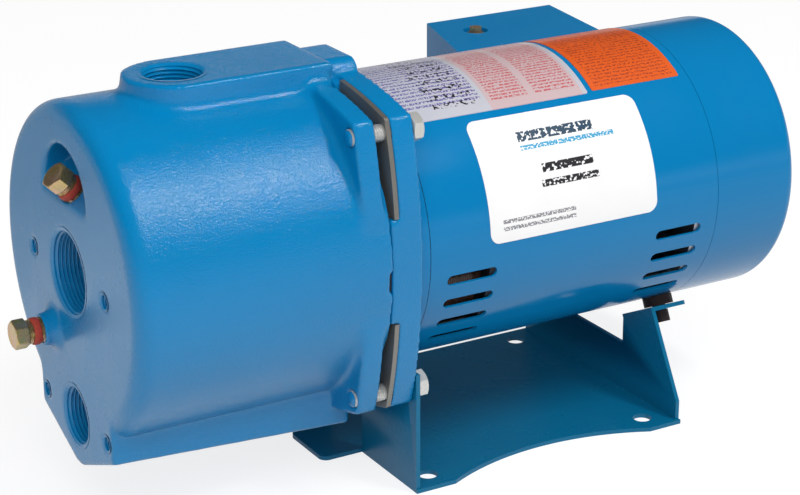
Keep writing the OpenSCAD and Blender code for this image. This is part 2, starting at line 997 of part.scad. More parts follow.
module shaft() {
  color("LightGray")
    at_pump()
      difference() {
        turn()
          polygon([[0, shaft_front], [shaft_pump_r - 1.9, shaft_front],
            [shaft_pump_r - 1.2, shaft_front + 0.7],
            [shaft_pump_r - 1.2, impeller_end + 0.2], [shaft_pump_r, impeller_end + 0.2],
            [shaft_pump_r, bearing1_x - 1], [shaft_bearing_r - fit, bearing1_x - 1],
            [shaft_bearing_r - fit, bearing1_x + bearing_w + 5],
            [shaft_rotor_r, bearing1_x + bearing_w + 5], [shaft_rotor_r, bearing2_x - gap],
            [shaft_bearing_r - fit, bearing2_x - gap],
            [shaft_bearing_r - fit, bearing2_x + bearing_w + 1],
            [shaft_tail_r, bearing2_x + bearing_w + 1], [shaft_tail_r, shaft_end],
            [0, shaft_end]]);
        ring(bearing1_x + bearing_w + gap, 1.5, shaft_bearing_r + 4, shaft_bearing_r - 0.8);
      }
}

module snap_ring() {
  color("DimGray")
    at_pump()
      difference() {
        ring(bearing1_x + bearing_w + gap + 0.15, 1.2, shaft_bearing_r + 2.2,
          shaft_bearing_r - 0.7);
        translate([bearing1_x, -2, 0])
          cube([bearing_w * 2, 4, bearing_r]);
      }
}

module rotor_core() {
  color("Gray")
    at_pump()
      difference() {
        ring(core_x, core_len, rotor_r, shaft_rotor_r + fit);
        for (i = [0 : 15])
          rotate([i * 22.5, 0, 0])
            translate([0, rotor_r - 6.5, 0])
              rod(core_x - 1, core_len + 2, 2.2 + fit);
      }
}

module rotor_cage() {
  color("Gainsboro")
    at_pump() {
      for (x = [core_x - 6 - gap, core_end + gap])
        ring(x, 6, rotor_r - 1.5, rotor_r - 13);
      for (i = [0 : 15])
        rotate([i * 22.5, 0, 0])
          translate([0, rotor_r - 6.5, 0])
            rod(core_x - 3, core_len + 6, 2.2);
    }
}

module cooling_fan() {
  x0 = bearing1_x + bearing_w + 6;
  color("Ivory")
    at_pump() {
      ring(x0, 2, fan_r, shaft_rotor_r + fit);
      ring(x0, 9, shaft_rotor_r + 4, shaft_rotor_r + fit);
      for (i = [0 : 7])
        rotate([i * 45, 0, 0])
          translate([x0, -1, shaft_rotor_r + 2])
            cube([10, 2, fan_r - shaft_rotor_r - 2.6]);
    }
}

module winding_slots(grow) {
  for (i = [0 : 23])
    rotate([i * 15, 0, 0])
      translate([core_x - core_len, -winding_w / 2 - grow, stator_bore - 2])
        cube([core_len * 3, winding_w + grow * 2, winding_depth + 2 + grow]);
}

module stator_core() {
  color("SlateGray")
    at_pump()
      difference() {
        ring(core_x, core_len, spigot_r, stator_bore);
        intersection() {
          winding_slots(gap);
          ring(core_x - 1, core_len + 2, spigot_r, stator_bore + 1.5);
        }
        winding_mouths();
        at_ties()
          rod(core_x - 1, core_len + 2, tie_r + gap);
      }
}

module winding_mouths() {
  for (i = [0 : 23])
    rotate([i * 15, 0, 0])
      translate([core_x - 1, -1, stator_bore - 2])
        cube([core_len + 2, 2, 5]);
}

module end_winding(x0, x1) {
  r = (x1 - x0) / 2;
  turn()
    intersection() {
      translate([stator_bore + 1.5 + gap, x0])
        square([tie_circle - tie_r - gap * 2 - stator_bore - 1.5, x1 - x0]);
      translate([(stator_bore + tie_circle) / 2, (x0 + x1) / 2])
        circle(r = r * 1.55);
    }
}

module stator_windings() {
  color("Chocolate")
    at_pump() {
      end_winding(core_x - winding_len - gap, core_x - gap);
      end_winding(core_end + gap, core_end + winding_len + gap);
      intersection() {
        winding_slots(0);
        ring(core_x - 2, core_len + 4, stator_bore + winding_depth - 0.5,
          stator_bore + 1.5 + gap);
      }
    }
}

module slot_row(x0) {
  for (s = [-1, 1], i = [0 : slot_n - 1])
    rotate([s * (slot_first + i * slot_step), 0, 0])
      translate([x0, -s * shell_r, 0])
        rotate([s * 90, 0, 0])
          translate([0, 0, -6]) {
            translate([slot_w / 2, -slot_w / 2, 0])
              cube([slot_len - slot_w, slot_w, 12]);
            for (x = [slot_w / 2, slot_len - slot_w / 2])
              translate([x, 0, 0])
                cylinder(r = slot_w / 2, h = 12, $fn = 48);
          }
}

module motor_shell() {
  color("RoyalBlue")
    at_pump()
      difference() {
        ring(shell_x, shell_len, shell_r, shell_in);
        slot_row(shell_x + slot_front);
        slot_row(shell_end - slot_rear - slot_len);
        translate([box_screw_x - 2, cap_y - 14, cap_z - 18])
          cylinder(r = 5, h = 40, center = true);
      }
}

module rear_bell() {
  color("Silver")
    at_pump()
      difference() {
        union() {
          ring(shell_end - bell_lip, bell_lip, spigot_r, spigot_r - bell_wall);
          rod(shell_end - 6, 6, spigot_r - 1);
          rod(bearing2_x - 1, shell_end - bearing2_x + 1, hub_r);
          for (s = [-1, 1])
            translate([0, 0, s * cover_screw_z])
              rod(shell_end - 8, 22, 5);
          at_ties()
            intersection() {
              rod(shell_end - bell_lip, bell_lip, tie_r + 3.6);
              translate([shell_end - 20, -tie_circle, -10])
                cube([20, spigot_r - 1, 20]);
            }
        }
        rod(bearing2_x - 4, bearing_w + 6.4, bearing_r + fit);
        rod(bearing2_x - 4, 60, shaft_bearing_r + 2);
        for (a = [30 : 60 : 330])
          rotate([a, 0, 0])
            translate([0, vent_circle, 0])
              rod(shell_end - 20, 40, vent_r);
        at_ties()
          rod(shell_end - 30, 60, tie_r + gap);
        at_ties()
          rod(shell_end - 1.5, 10, tie_r * 2 + 1);
        for (s = [-1, 1])
          translate([0, 0, s * cover_screw_z])
            rod(shell_end - 4, 60, cover_screw_r + fit);
        translate([0, -49, -16])
          rod(shell_end - 4, 10, 1.9);
      }
}

module through_bolts() {
  color("Silver")
    at_pump()
      at_ties() {
        rod(bell_x + 5, shell_end - bell_x - 6, tie_r);
        hex_rod(shell_end - 1.2, 3, tie_r * 3.2);
      }
}

module rear_cover() {
  color("RoyalBlue")
    at_pump()
      difference() {
        turn()
          difference() {
            translate([0, cover_x])
              square([shell_r, cover_len]);
            translate([shell_r - cover_round, cover_end - cover_round])
              difference() {
                square([cover_round + 1, cover_round + 1]);
                circle(r = cover_round);
              }
          }
        turn()
          translate([0, cover_x - 1])
            difference() {
              square([shell_in, cover_len + 1 - shell_t]);
              translate([shell_in - cover_round + shell_t, cover_len + 1 - cover_round])
                difference() {
                  square([cover_round, cover_round]);
                  circle(r = cover_round - shell_t);
                }
            }
        for (s = [-1, 1])
          translate([0, 0, s * cover_screw_z])
            rod(cover_end - 10, 20, cover_screw_r + drill);
      }
}

module cover_screws() {
  color("Silver")
    at_pump()
      for (s = [-1, 1])
        translate([0, 0, s * cover_screw_z]) {
          rod(shell_end - 2, cover_len + 3, cover_screw_r);
          turn()
            intersection() {
              translate([0, cover_end + gap])
                square([cover_screw_r * 2.1, 2.6]);
              translate([0, cover_end - 3.6])
                circle(r = 6.6);
            }
        }
}

// ---- bearings ---------------------------------------------------------------

module race(x0, ro, ri) {
  difference() {
    ring(x0, bearing_w, ro, ri);
    turn()
      translate([ball_circle, x0 + bearing_w / 2])
        circle(r = ball_r + race_gap, $fn = 48);
  }
}

module ball_set(x0, r) {
  for (i = [0 : ball_n - 1])
    rotate([i * 360 / ball_n, 0, 0])
      translate([x0 + bearing_w / 2, ball_circle, 0])
        sphere(r = r, $fn = 32);
}

// Cage with round radial pockets for the balls.
module ball_cage(x0) {
  difference() {
    ring(x0 + bearing_w / 2 - 4.4, 8.8, ball_circle + 1.1, ball_circle - 1.1);
    for (i = [0 : ball_n - 1])
      rotate([i * 360 / ball_n, 0, 0])
        translate([x0 + bearing_w / 2, ball_circle - 4, 0])
          rotate([-90, 0, 0])
            cylinder(r = ball_r + race_gap, h = 8, $fn = 48);
  }
}

module front_bearing_outer() {
  color("LightSteelBlue")
    at_pump()
      race(bearing1_x, bearing_r, race_out);
}

module front_bearing_inner() {
  color("LightSteelBlue")
    at_pump()
      race(bearing1_x, race_in, shaft_bearing_r);
}

module front_bearing_cage() {
  color("Goldenrod")
    at_pump()
      ball_cage(bearing1_x);
}

module front_bearing_balls() {
  color("Silver")
    at_pump()
      ball_set(bearing1_x, ball_r);
}

module rear_bearing_outer() {
  color("LightSteelBlue")
    at_pump()
      race(bearing2_x, bearing_r, race_out);
}

module rear_bearing_inner() {
  color("LightSteelBlue")
    at_pump()
      race(bearing2_x, race_in, shaft_bearing_r);
}

module rear_bearing_cage() {
  color("Goldenrod")
    at_pump()
      ball_cage(bearing2_x);
}

module rear_bearing_balls() {
  color("Silver")
    at_pump()
      ball_set(bearing2_x, ball_r);
}

module wave_washer() {
  color("DimGray")
    at_pump()
      ring(bearing2_x + bearing_w + gap, 1.6, bearing_r - 0.5, race_out + 1);
}

// ---- governor and switch ----------------------------------------------------

module governor() {
  color("Silver")
    at_pump() {
      ring(governor_x, 14, shaft_tail_r + 5, shaft_tail_r + fit);
      ring(governor_x + 2, 1.6, 24, shaft_tail_r + fit);
      for (s = [-1, 1])
        translate([governor_x + 3, -9, s * 20 - 4])
          cube([9, 18, 8]);
    }
}

module governor_collar() {
  color("Ivory")
    at_pump() {
      ring(collar_x, 2, collar_r, shaft_tail_r + fit);
      ring(collar_x, collar_len, shaft_tail_r + 3.5, shaft_tail_r + fit);
    }
}

module switch_plate() {
  color("SaddleBrown")
    at_pump()
      difference() {
        union() {
          translate([switch_x, -24, -19])
            cube([switch_t, 48, 60]);
          for (s = [-1, 1])
            translate([switch_x, s * 5.5 - 1.5, arm_z + arm_len - 3])
              cube([switch_t + 5, 3, 6]);
        }
        rod(switch_x - 1, 5, shaft_bearing_r + 2);
        translate([0, 0, arm_z + arm_len])
          translate([switch_x + 4.6, 10, 0])
            rotate([90, 0, 0])
              cylinder(r = 1 + fit, h = 20);
      }
}

module switch_arm() {
  px = switch_x + 4.6;
  color("Peru")
    at_pump() {
      translate([px, 7, arm_z + arm_len])
        rotate([90, 0, 0])
          cylinder(r = 1, h = 14);
      translate([px - 0.8, -3.4, arm_z - 1])
        cube([1.6, 6.8, arm_len + 1]);
    }
}

module terminal_board() {
  color("SaddleBrown")
    at_pump()
      difference() {
        union() {
          translate([switch_x, -66, -8])
            cube([3, 36, 22]);
          for (z = [-3, 4, 11])
            translate([switch_x + 2, -60, z - 1])
              cube([9, 6.3, 1]);
          for (y = [-50, -40])
            translate([switch_x + 2, y, 1])
              cube([7, 0.8, 7]);
        }
        translate([0, -49, -16])
          rod(switch_x - 1, 8, 2.2);
      }
}

module overload_protector() {
  color("Black")
    at_pump()
      translate([0, 44, -22])
        rod(switch_x, 11, 14);
}

module ground_screw() {
  color("Green")
    at_pump()
      translate([0, -49, -16]) {
        rod(shell_end - 3, 6, 1.85);
        hex_rod(shell_end + gap, 3.2, 7.4);
      }
}

// ---- terminal box -----------------------------------------------------------

module box_plan(inset) {
  polygon([[box_x0 + inset, box_in - 30], [box_x0 + inset, box_in + inset],
    [box_x0 + box_skew + inset, box_out - inset],
    [box_x1 + box_rear_skew - inset, box_out - inset],
    [box_x1 - inset, box_in + inset], [box_x1 - inset, box_in - 30]]);
}

module box_block(inset) {
  difference() {
    intersection() {
      translate([0, 0, box_low + inset])
        linear_extrude(box_top - box_low - inset * 2)
          box_plan(inset);
      translate([box_x0 - 10, box_in + inset, box_low])
        cube([box_len + 40, box_out, box_top]);
    }
    rod(box_x0 - 20, box_len + 60, shell_r + gap);
  }
}

module terminal_box() {
  color("RoyalBlue")
    at_pump()
      difference() {
        box_block(0);
        difference() {
          intersection() {
            translate([0, 0, box_low + box_wall])
              linear_extrude(box_top - box_low - box_wall * 2)
                box_plan(box_wall);
            translate([box_x0 - 10, box_in + box_wall, box_low])
              cube([box_len + 40, box_out, box_top]);
          }
          translate([box_screw_x, box_screw_y, box_top - dimple_d - box_wall])
            cylinder(r = 9.5, h = 10);
        }
        translate([box_screw_x, box_screw_y, box_top - dimple_d])
          cylinder(r = 7.5, h = 10);
        translate([box_screw_x, box_screw_y, box_top - 20])
          cylinder(r = 2 + drill, h = 30);
        translate([cap_x + 10, box_out - 10, (box_low + box_top) / 2 - 14])
          rotate([-90, 0, 0])
            cylinder(r = conduit_r, h = 20);
      }
}

module box_bracket() {
  z1 = box_top - dimple_d - box_wall - gap;
  color("DimGray")
    at_pump()
      difference() {
        translate([box_screw_x - bracket_w / 2, box_screw_y - 9, shell_r / 4])
          cube([bracket_w, 16, z1 - shell_r / 4]);
        rod(box_x0, box_len, shell_r + fit);
        translate([box_screw_x, box_screw_y, z1 - 12])
          cylinder(r = 2 + fit, h = 20);
      }
}

module terminal_box_screw() {
  z1 = box_top - dimple_d + gap;
  color("Gold")
    at_pump()
      translate([box_screw_x, box_screw_y, z1]) {
        translate([0, 0, -11])
          cylinder(r = 2, h = 12);
        cylinder(r = 5, h = 0.8);
        cylinder(r = 4.1, h = 4.2, $fn = 6);
      }
}

module start_capacitor() {
  color("DimGray")
    at_pump()
      translate([0, cap_y, cap_z]) {
        rod(cap_x, cap_len, cap_r);
        for (s = [-1, 1])
          translate([cap_x - cap_tab, s * 5 - 3, -0.4])
            cube([cap_tab + 1, 6, 0.8]);
      }
}

module capacitor_clip() {
  color("Silver")
    at_pump()
      difference() {
        translate([cap_x + cap_len / 2 - 6, cap_y - cap_r - 3, cap_z - cap_r - 3])
          cube([12, cap_r + 3, cap_r + 1]);
        translate([0, cap_y, cap_z])
          rod(cap_x - 1, cap_len + 2, cap_r + gap);
        rod(box_x0, box_len + 20, shell_r + fit);
      }
}

// ---- base -------------------------------------------------------------------

module base_outline() {
  x0 = leg_x;
  x1 = rear_leg_x;
  difference() {
    union() {
      translate([x0, -base_half])
        square([x1 - x0, base_half * 2]);
      translate([x0 - tongue_len + 5, -tongue_half])
        square([tongue_len, tongue_half * 2]);
      translate([x0 - tongue_len, -tongue_half + 5])
        square([tongue_len, tongue_half * 2 - 10]);
      for (s = [-1, 1])
        translate([x0 - tongue_len + 5, s * (tongue_half - 5)])
          circle(r = 5);
    }
    translate([face_to_base + 3, -(base_half - waist + waist_r)])
      circle(r = waist_r);
    for (sx = [-1, 1], sy = [-1, 1])
      translate([face_to_base + sx * base_hole_x / 2, sy * base_hole_y / 2])
        circle(r = base_hole_r);
  }
}

module front_leg() {
  top = bolt_half - bolt_af * 0.62;
  difference() {
    push(leg_x, sheet_t)
      difference() {
        translate([-base_half + 1, -axis_h])
          square([base_half * 2 - 2, axis_h - top]);
        circle(r = shell_r + leg_gap);
        translate([-tongue_half, -axis_h - 1])
          square([tongue_half * 2, tongue_len + 1]);
      }
    at_flange_bolts([-1])
      rod(leg_x - 1, sheet_t + 2, bolt_r + drill);
  }
}

// Rear leg as seen along X, up to the bend of its two tabs.
module rear_leg_outline() {
  half = tab_w / 2;
  k = tab_r + sheet_t;
  tip = [k * sin(tab_angle) + half * cos(tab_angle), -k * cos(tab_angle) + half * sin(tab_angle)];
  in = [k * sin(tab_angle) - half * cos(tab_angle), -k * cos(tab_angle) - half * sin(tab_angle)];
  for (s = [-1, 1])
    polygon([[0, -axis_h], [s * (base_half - 2), -axis_h],
      [s * (base_half - 2), -axis_h + 14], [s * tip[0], tip[1]], [s * in[0], in[1]],
      [s * in[0], -axis_h + 32], [0, -axis_h + 32]]);
}

module rear_tab(s) {
  rotate([s * tab_angle, 0, 0])
    translate([rear_leg_x - sheet_t, -tab_w / 2, -tab_r - sheet_t])
      difference() {
        union() {
          cube([tab_len, tab_w, sheet_t]);
          translate([tab_len - 0.01, 5, 0])
            cube([4, tab_w - 10, sheet_t]);
          for (y = [5, tab_w - 5])
            translate([tab_len - 1, y, 0])
              cylinder(r = 5, h = sheet_t);
        }
        translate([bumper_x - rear_leg_x + sheet_t, tab_w / 2, -1])
          cylinder(r = 4 + gap, h = sheet_t + 2);
      }
}

module base_bracket() {
  color("SteelBlue")
    at_pump() {
      translate([0, 0, -axis_h])
        linear_extrude(sheet_t)
          base_outline();
      front_leg();
      push(rear_leg_x - sheet_t, sheet_t)
        rear_leg_outline();
      rear_tab(1);
      rear_tab(-1);
    }
}

module rear_bumpers() {
  color("Maroon")
    at_pump()
      for (s = [-1, 1])
        rotate([s * tab_angle, 0, 0])
          translate([bumper_x, 0, 0]) {
            intersection() {
              translate([0, 0, -tab_r + gap])
                cylinder(r = bumper_r, h = tab_r - shell_r + 6);
              difference() {
                translate([-20, -20, -tab_r])
                  cube([40, 40, 20]);
                rod(-30, 60, shell_r + gap);
              }
            }
            translate([0, 0, -tab_r - sheet_t - 1])
              cylinder(r = 4, h = sheet_t + 2);
            translate([0, 0, -tab_r - sheet_t - 7.5])
              cylinder(r = 4.8, h = 7.5 - gap);
          }
}

// ---- labels -----------------------------------------------------------------

// A label wrapped on the shell from angle a0 to a1, measured up from the near side.
module wrap(x0, len, a0, a1, round) {
  intersection() {
    ring(x0 - 2, len + 4, label_r + label_t, label_r);
    rotate([180 - (a0 + a1) / 2, 0, 0])
      translate([x0, 0, 0])
        wedge(len, (a1 - a0) / 2, round);
  }
}

// Solid sector about +Y with corners rounded as seen along the label's normal.
module wedge(len, half, round) {
  h = shell_r * sin(min(half, 89));
  translate([0, shell_r * 1.3, 0])
    rotate([90, 0, 0])
      linear_extrude(shell_r * 1.3)
        union() {
          translate([round, -h])
            square([len - round * 2, h * 2]);
          translate([0, -h + round])
            square([len, h * 2 - round * 2]);
          for (x = [round, len - round], z = [-h + round, h - round])
            translate([x, z])
              circle(r = round);
        }
}

module name_plate() {
  color("White")
    at_pump()
      wrap(shell_x + name_in, plate_len, plate_a0, plate_a1, name_round);
}

module rating_label() {
  color("Thistle")
    at_pump()
      wrap(shell_x + rating_in, rating_len, band_a0, band_a1, 1);
}

module orange_label() {
  color("OrangeRed")
    at_pump()
      wrap(shell_x + rating_in + rating_len + orange_in, orange_len, band_a0 + 0.8, band_a1, 1);
}

pump_casing();
casing_gasket();
seal_plate();
diffuser();
diffuser_ring();
diffuser_screws();
impeller();
impeller_insert();
seal_seat();
seal_seat_cup();
seal_head();
seal_spring();
seal_retainer();
shaft_slinger();
drain_plug();
drain_plug_sealant();
priming_plug();
priming_plug_sealant();
flange_bolts();
motor_front_bell();
shaft();
rotor_core();
rotor_cage();
cooling_fan();
stator_core();
stator_windings();
motor_shell();
rear_bell();
rear_cover();
cover_screws();
front_bearing_outer();
front_bearing_inner();
front_bearing_cage();
front_bearing_balls();
rear_bearing_outer();
rear_bearing_inner();
rear_bearing_cage();
rear_bearing_balls();
wave_washer();
snap_ring();
through_bolts();
governor();
governor_collar();
switch_plate();
switch_arm();
terminal_board();
overload_protector();
ground_screw();
terminal_box();
terminal_box_screw();
box_bracket();
start_capacitor();
capacitor_clip();
base_bracket();
rear_bumpers();
name_plate();
rating_label();
orange_label();
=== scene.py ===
"""Looks of a shallow well jet pump: sand-cast casing, rolled-shell motor, folded sheet base.

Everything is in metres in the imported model's frame: +X runs back from the pump's front
face along the shaft, +Z is up, and Z = 0 is the underside of the base.
"""
import json
import math

import bmesh
import bpy
import numpy as np
from mathutils import Matrix, Vector
from mathutils.bvhtree import BVHTree


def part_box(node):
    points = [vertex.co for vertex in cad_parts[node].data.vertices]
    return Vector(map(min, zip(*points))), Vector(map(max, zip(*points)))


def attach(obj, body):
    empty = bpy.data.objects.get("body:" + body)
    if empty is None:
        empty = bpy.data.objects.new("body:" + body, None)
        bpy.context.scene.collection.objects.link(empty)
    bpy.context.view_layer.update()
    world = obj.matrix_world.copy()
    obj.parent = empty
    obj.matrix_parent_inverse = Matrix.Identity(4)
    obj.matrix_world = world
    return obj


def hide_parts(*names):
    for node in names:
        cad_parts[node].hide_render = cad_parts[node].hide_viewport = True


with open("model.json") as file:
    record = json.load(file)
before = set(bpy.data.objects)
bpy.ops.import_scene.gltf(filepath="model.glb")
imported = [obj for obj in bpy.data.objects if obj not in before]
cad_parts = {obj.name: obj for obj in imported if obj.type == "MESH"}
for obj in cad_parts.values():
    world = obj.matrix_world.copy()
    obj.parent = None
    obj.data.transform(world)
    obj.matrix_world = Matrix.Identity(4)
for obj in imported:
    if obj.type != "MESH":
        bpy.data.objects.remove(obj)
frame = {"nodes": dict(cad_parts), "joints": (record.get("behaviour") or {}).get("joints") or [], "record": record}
NODES = frame["nodes"]
MOUNTS = {m["name"]: m for m in frame["record"]["mounts"]}
JOINTS = {j["name"]: j for j in frame["joints"]}
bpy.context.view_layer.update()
MM = 0.001
SHAFT_Z = JOINTS["rotor_spin"]["pos_m"][2]
FACE_X = MOUNTS["suction_adapter_screws"]["pos_m"][0]
SHELL_LOW, SHELL_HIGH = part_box("motor_shell")
SHELL_R = (SHELL_HIGH.z - SHELL_LOW.z) / 2

# ---- camera and image points ------------------------------------------------

W, H = 800, 495
L = max(W, H)
CAM_AT = (-0.66064, -1.05163, 0.56569)
CAM_AZIMUTH = 30.71
CAM_ELEVATION = 20.36
CAM_LENS = 100.89
CAM_SENSOR = 36.0
CAM_SHIFT = (-0.02955, -0.00408)

camera_data = bpy.data.cameras.new("photo_camera")
camera_data.sensor_fit = "AUTO"
camera_data.sensor_width = CAM_SENSOR
camera_data.lens = CAM_LENS
camera_data.shift_x, camera_data.shift_y = CAM_SHIFT
camera_data.dof.use_dof = False
camera_data.clip_end = 20
camera = bpy.data.objects.new("photo_camera", camera_data)
bpy.context.scene.collection.objects.link(camera)
camera.location = CAM_AT
camera.rotation_euler = (math.radians(90 - CAM_ELEVATION), 0, math.radians(-CAM_AZIMUTH))
bpy.context.scene.camera = camera
bpy.context.view_layer.update()
CAM_ROT = np.array(camera.matrix_world.to_3x3())

POINTS = {
    "left_edge_x": [6.4, None], "right_edge_x": [791.5, None],
    "top_edge_y": [None, 6.8], "bottom_edge_y": [None, 491.5],
    "suction_port": [68.2, 273.0], "drive_port": [77.2, 415.2], "discharge_port": [172.7, 71.6],
    "suction_screw_far": [34.0, 247.4], "suction_screw_near": [104.1, 304.3],
    "drive_screw_far": [46.5, 390.3], "drive_screw_near": [106.2, 445.8],
    "priming_plug_head": [63.5, 186.5], "drain_plug_head": [16.0, 335.0],
    "base_hole_front": [428.2, 474.6], "base_hole_rear": [641.4, 417.7],
    "name_plate": [562.3, 171.0], "box_screw": [478.9, 33.0],
    "upper_near_bolt_head": [418.5, 128.0],
}


def image_of(points):
    """Image x, y of row-frame points: the placing ray's formula turned round."""
    local = (np.atleast_2d(points) - np.array(CAM_AT)) @ CAM_ROT
    k = L * CAM_LENS / CAM_SENSOR / -local[:, 2]
    x = W / 2 - CAM_SHIFT[0] * L + local[:, 0] * k
    y = H / 2 + CAM_SHIFT[1] * L - local[:, 1] * k
    return np.stack([x, y], 1)


def ray_of(x, y):
    """Unit direction of an image point's ray in the row frame."""
    d = np.array([x - W / 2 + CAM_SHIFT[0] * L, H / 2 - y + CAM_SHIFT[1] * L,
                  -L * CAM_LENS / CAM_SENSOR])
    d = CAM_ROT @ d
    return d / np.linalg.norm(d)


def place(x, y, carrier):
    """Where an image point's ray meets the carrier, or the place nearest the ray."""
    mesh = carrier.data
    tree = BVHTree.FromPolygons([v.co for v in mesh.vertices], [p.vertices for p in mesh.polygons])
    start, way = Vector(CAM_AT), Vector(ray_of(x, y))
    hit = tree.ray_cast(start, way)
    if hit[0] is not None:
        return hit[0]
    co = coordinates(mesh)
    rel = co - np.array(CAM_AT)
    away = rel - np.outer(rel @ np.array(way), np.array(way))
    return Vector(co[np.argmin(np.linalg.norm(away, axis=1))])


# ---- mesh making ------------------------------------------------------------

def coordinates(mesh):
    co = np.zeros(len(mesh.vertices) * 3)
    mesh.vertices.foreach_get("co", co)
    return co.reshape(-1, 3)


def new_object(name, mesh):
    obj = bpy.data.objects.new(name, mesh)
    bpy.context.scene.collection.objects.link(obj)
    return obj


def smooth(mesh):
    mesh.polygons.foreach_set("use_smooth", np.ones(len(mesh.polygons), bool))


def sheet_mesh(name, grids):
    """One mesh from several grids of points, each rows x columns x 3.

    Neighbouring rows and columns are joined by quads, and the last column to the first,
    so a row is a ring about the grid's axis.
    """
    verts, faces, base = [], [], 0
    for grid in grids:
        rows, cols = grid.shape[:2]
        index = base + np.arange(rows * cols).reshape(rows, cols)
        right = np.roll(index, -1, axis=1)
        quads = np.stack([index[:-1], right[:-1], right[1:], index[1:]], -1)
        faces.append(quads.reshape(-1, 4))
        verts.append(grid.reshape(-1, 3))
        base += rows * cols
    mesh = bpy.data.meshes.new(name)
    mesh.from_pydata(np.concatenate(verts).tolist(), [], np.concatenate(faces).tolist())
    weld(mesh)
    smooth(mesh)
    return mesh


def weld(mesh):
    """Joins corners that share a place, which closes seams and poles."""
    work = bmesh.new()
    work.from_mesh(mesh)
    bmesh.ops.remove_doubles(work, verts=work.verts, dist=1e-6)
    work.to_mesh(mesh)
    work.free()
    mesh.update()


def about(grid_r, grid_s, theta, origin, axis):
    """Points at radius grid_r and height grid_s about a line through origin along axis.

    The two cross directions are made from the axis: theta = 0 points along Y, to -Y for
    an axis that runs to +X, or to +X for an axis near Z.
    """
    axis = np.array(axis, float) / np.linalg.norm(axis)
    side = np.cross(axis, (0, 0, 1)) if abs(axis[2]) < 0.9 else np.array((1.0, 0, 0))
    side = side / np.linalg.norm(side)
    other = np.cross(axis, side)
    ring = np.cos(theta)[None, :, None] * side + np.sin(theta)[None, :, None] * other
    return np.array(origin) + grid_r[:, :, None] * ring + grid_s[:, :, None] * axis


def closed_end(r, s, theta_count):
    """A profile row of constant radius r and height s, repeated round the ring."""
    return np.full((1, theta_count), r), np.full((1, theta_count), s)


def ridge(turns):
    """Rounded thread form: 0 in the valleys, 1 on the crests, period 1."""
    wave = 1 - np.abs(2 * (turns % 1) - 1)
    return np.clip((wave - 0.18) / 0.64, 0, 1)


def tapped_wall(name, origin, axis, radius, pitch, depth, length, lip, chamfer):
    """Thread cut into a bore.

    Radius at angle t and depth s is radius - clearance - depth * ridge(s/pitch - t/2pi),
    so that the crests run as one helix. A flat lip and a chamfer lead in from the face.
    """
    count = 128
    theta = np.linspace(0, 2 * math.pi, count, endpoint=False)
    s = np.arange(0, length, pitch / 9)[:, None] + chamfer
    fade = np.clip((s - chamfer) / pitch, 0, 1)
    r = radius - 0.3 * MM - depth * fade * ridge(s / pitch - theta / (2 * math.pi))
    s = s + 0 * theta
    lead = [(radius + lip, -0.04 * MM), (radius + chamfer + 0.2 * MM, -0.06 * MM),
            (radius + chamfer - 0.1 * MM, 0.1 * MM), (radius - 0.1 * MM, chamfer)]
    rows = [closed_end(a, b, count) for a, b in lead]
    r = np.concatenate([row[0] for row in rows] + [r])
    s = np.concatenate([row[1] for row in rows] + [s])
    return sheet_mesh(name, [about(r, -s, -theta, origin, axis)])


HEAD_RISE = np.array([0, 0.25, 0.5, 0.8, 1.2, 1.8, 3]) * MM
HEAD_FALL = np.array([1.6, 1.2, 0.8, 0.5, 0.25, 0.0]) * MM
HEAD_DISH = ((0.9, 0.0), (0.84, 0.12 * MM), (0.4, 0.16 * MM), (0.0, 0.16 * MM))


def screw(name, origin, axis, turn, hexagon, thread):
    """Hexagon head and threaded neck, on one ring grid, along axis from origin.

    hexagon = (from, to, across flats): its radius is the smaller of the hexagon
    (af/2) / cos(t folded to 60 degrees) and a 30 degree cone that turns off the corners.
    thread = (from, to, radius, pitch, depth, chamfer): radius - depth +
    depth * ridge(s/pitch - t/2pi), and never more than a 45 degree cone at its start.
    """
    count = 144
    theta = np.linspace(0, 2 * math.pi, count, endpoint=False)
    a, b, radius, pitch, depth, chamfer = thread
    s = np.linspace(a, b, max(4, int((b - a) / pitch * 9)))[:, None]
    r = radius - depth + depth * ridge(s / pitch - theta / (2 * math.pi))
    r = np.minimum(r, radius - chamfer + (s - a))
    rows = [closed_end(0.0, a, count), (r, s + 0 * theta)]

    a, b, af = hexagon
    fold = (theta + turn + math.pi / 6) % (math.pi / 3) - math.pi / 6
    flat = af / 2 / np.cos(fold)
    low = af / 2 * 0.97
    rise = np.append(HEAD_RISE, b - a - 0.5 * MM)
    steps = np.unique(np.clip(np.concatenate([a + rise, b - HEAD_FALL]), a, b))[:, None]
    cone = np.minimum(low + (b - steps) * 1.73, low + (steps - a) * 1.73 + 0.2 * MM)
    rows += [closed_end(0.8 * low, a, count), (np.minimum(flat, cone), steps + 0 * theta)]
    rows += [closed_end(low * share, b - sink, count) for share, sink in HEAD_DISH]
    rows_r, rows_s = zip(*rows)
    grid = about(np.concatenate(rows_r), np.concatenate(rows_s), theta, origin, axis)
    return sheet_mesh(name, [grid])


def lumpy_ring(name, origin, axis, radius, wide, thick, lumps):
    """Squeezed-out ring: a flattened circle swept round the axis.

    Its thickness swells by a sum of sines of the angle, so it looks smeared on.
    """
    theta = np.linspace(0, 2 * math.pi, 96, endpoint=False)
    phi = np.linspace(0, 2 * math.pi, 20)[:, None]
    swell = sum(a * np.sin(n * theta + p) for n, a, p in lumps)
    r = radius + (thick * (1 + swell)) * np.sin(phi)
    s = wide / 2 * (1 - np.cos(phi) * (1 + 0.5 * swell))
    r = np.maximum(r, radius - 0.4 * MM)
    return sheet_mesh(name, [about(r, s, theta, origin, axis)])


def merged_copy(node):
    """Mesh of a CAD node with its loose corners joined; faces already point outwards."""
    mesh = NODES[node].data.copy()
    weld(mesh)
    return mesh


def apply_modifiers(obj):
    graph = bpy.context.evaluated_depsgraph_get()
    mesh = bpy.data.meshes.new_from_object(obj.evaluated_get(graph))
    obj.modifiers.clear()
    obj.data = mesh
    return obj


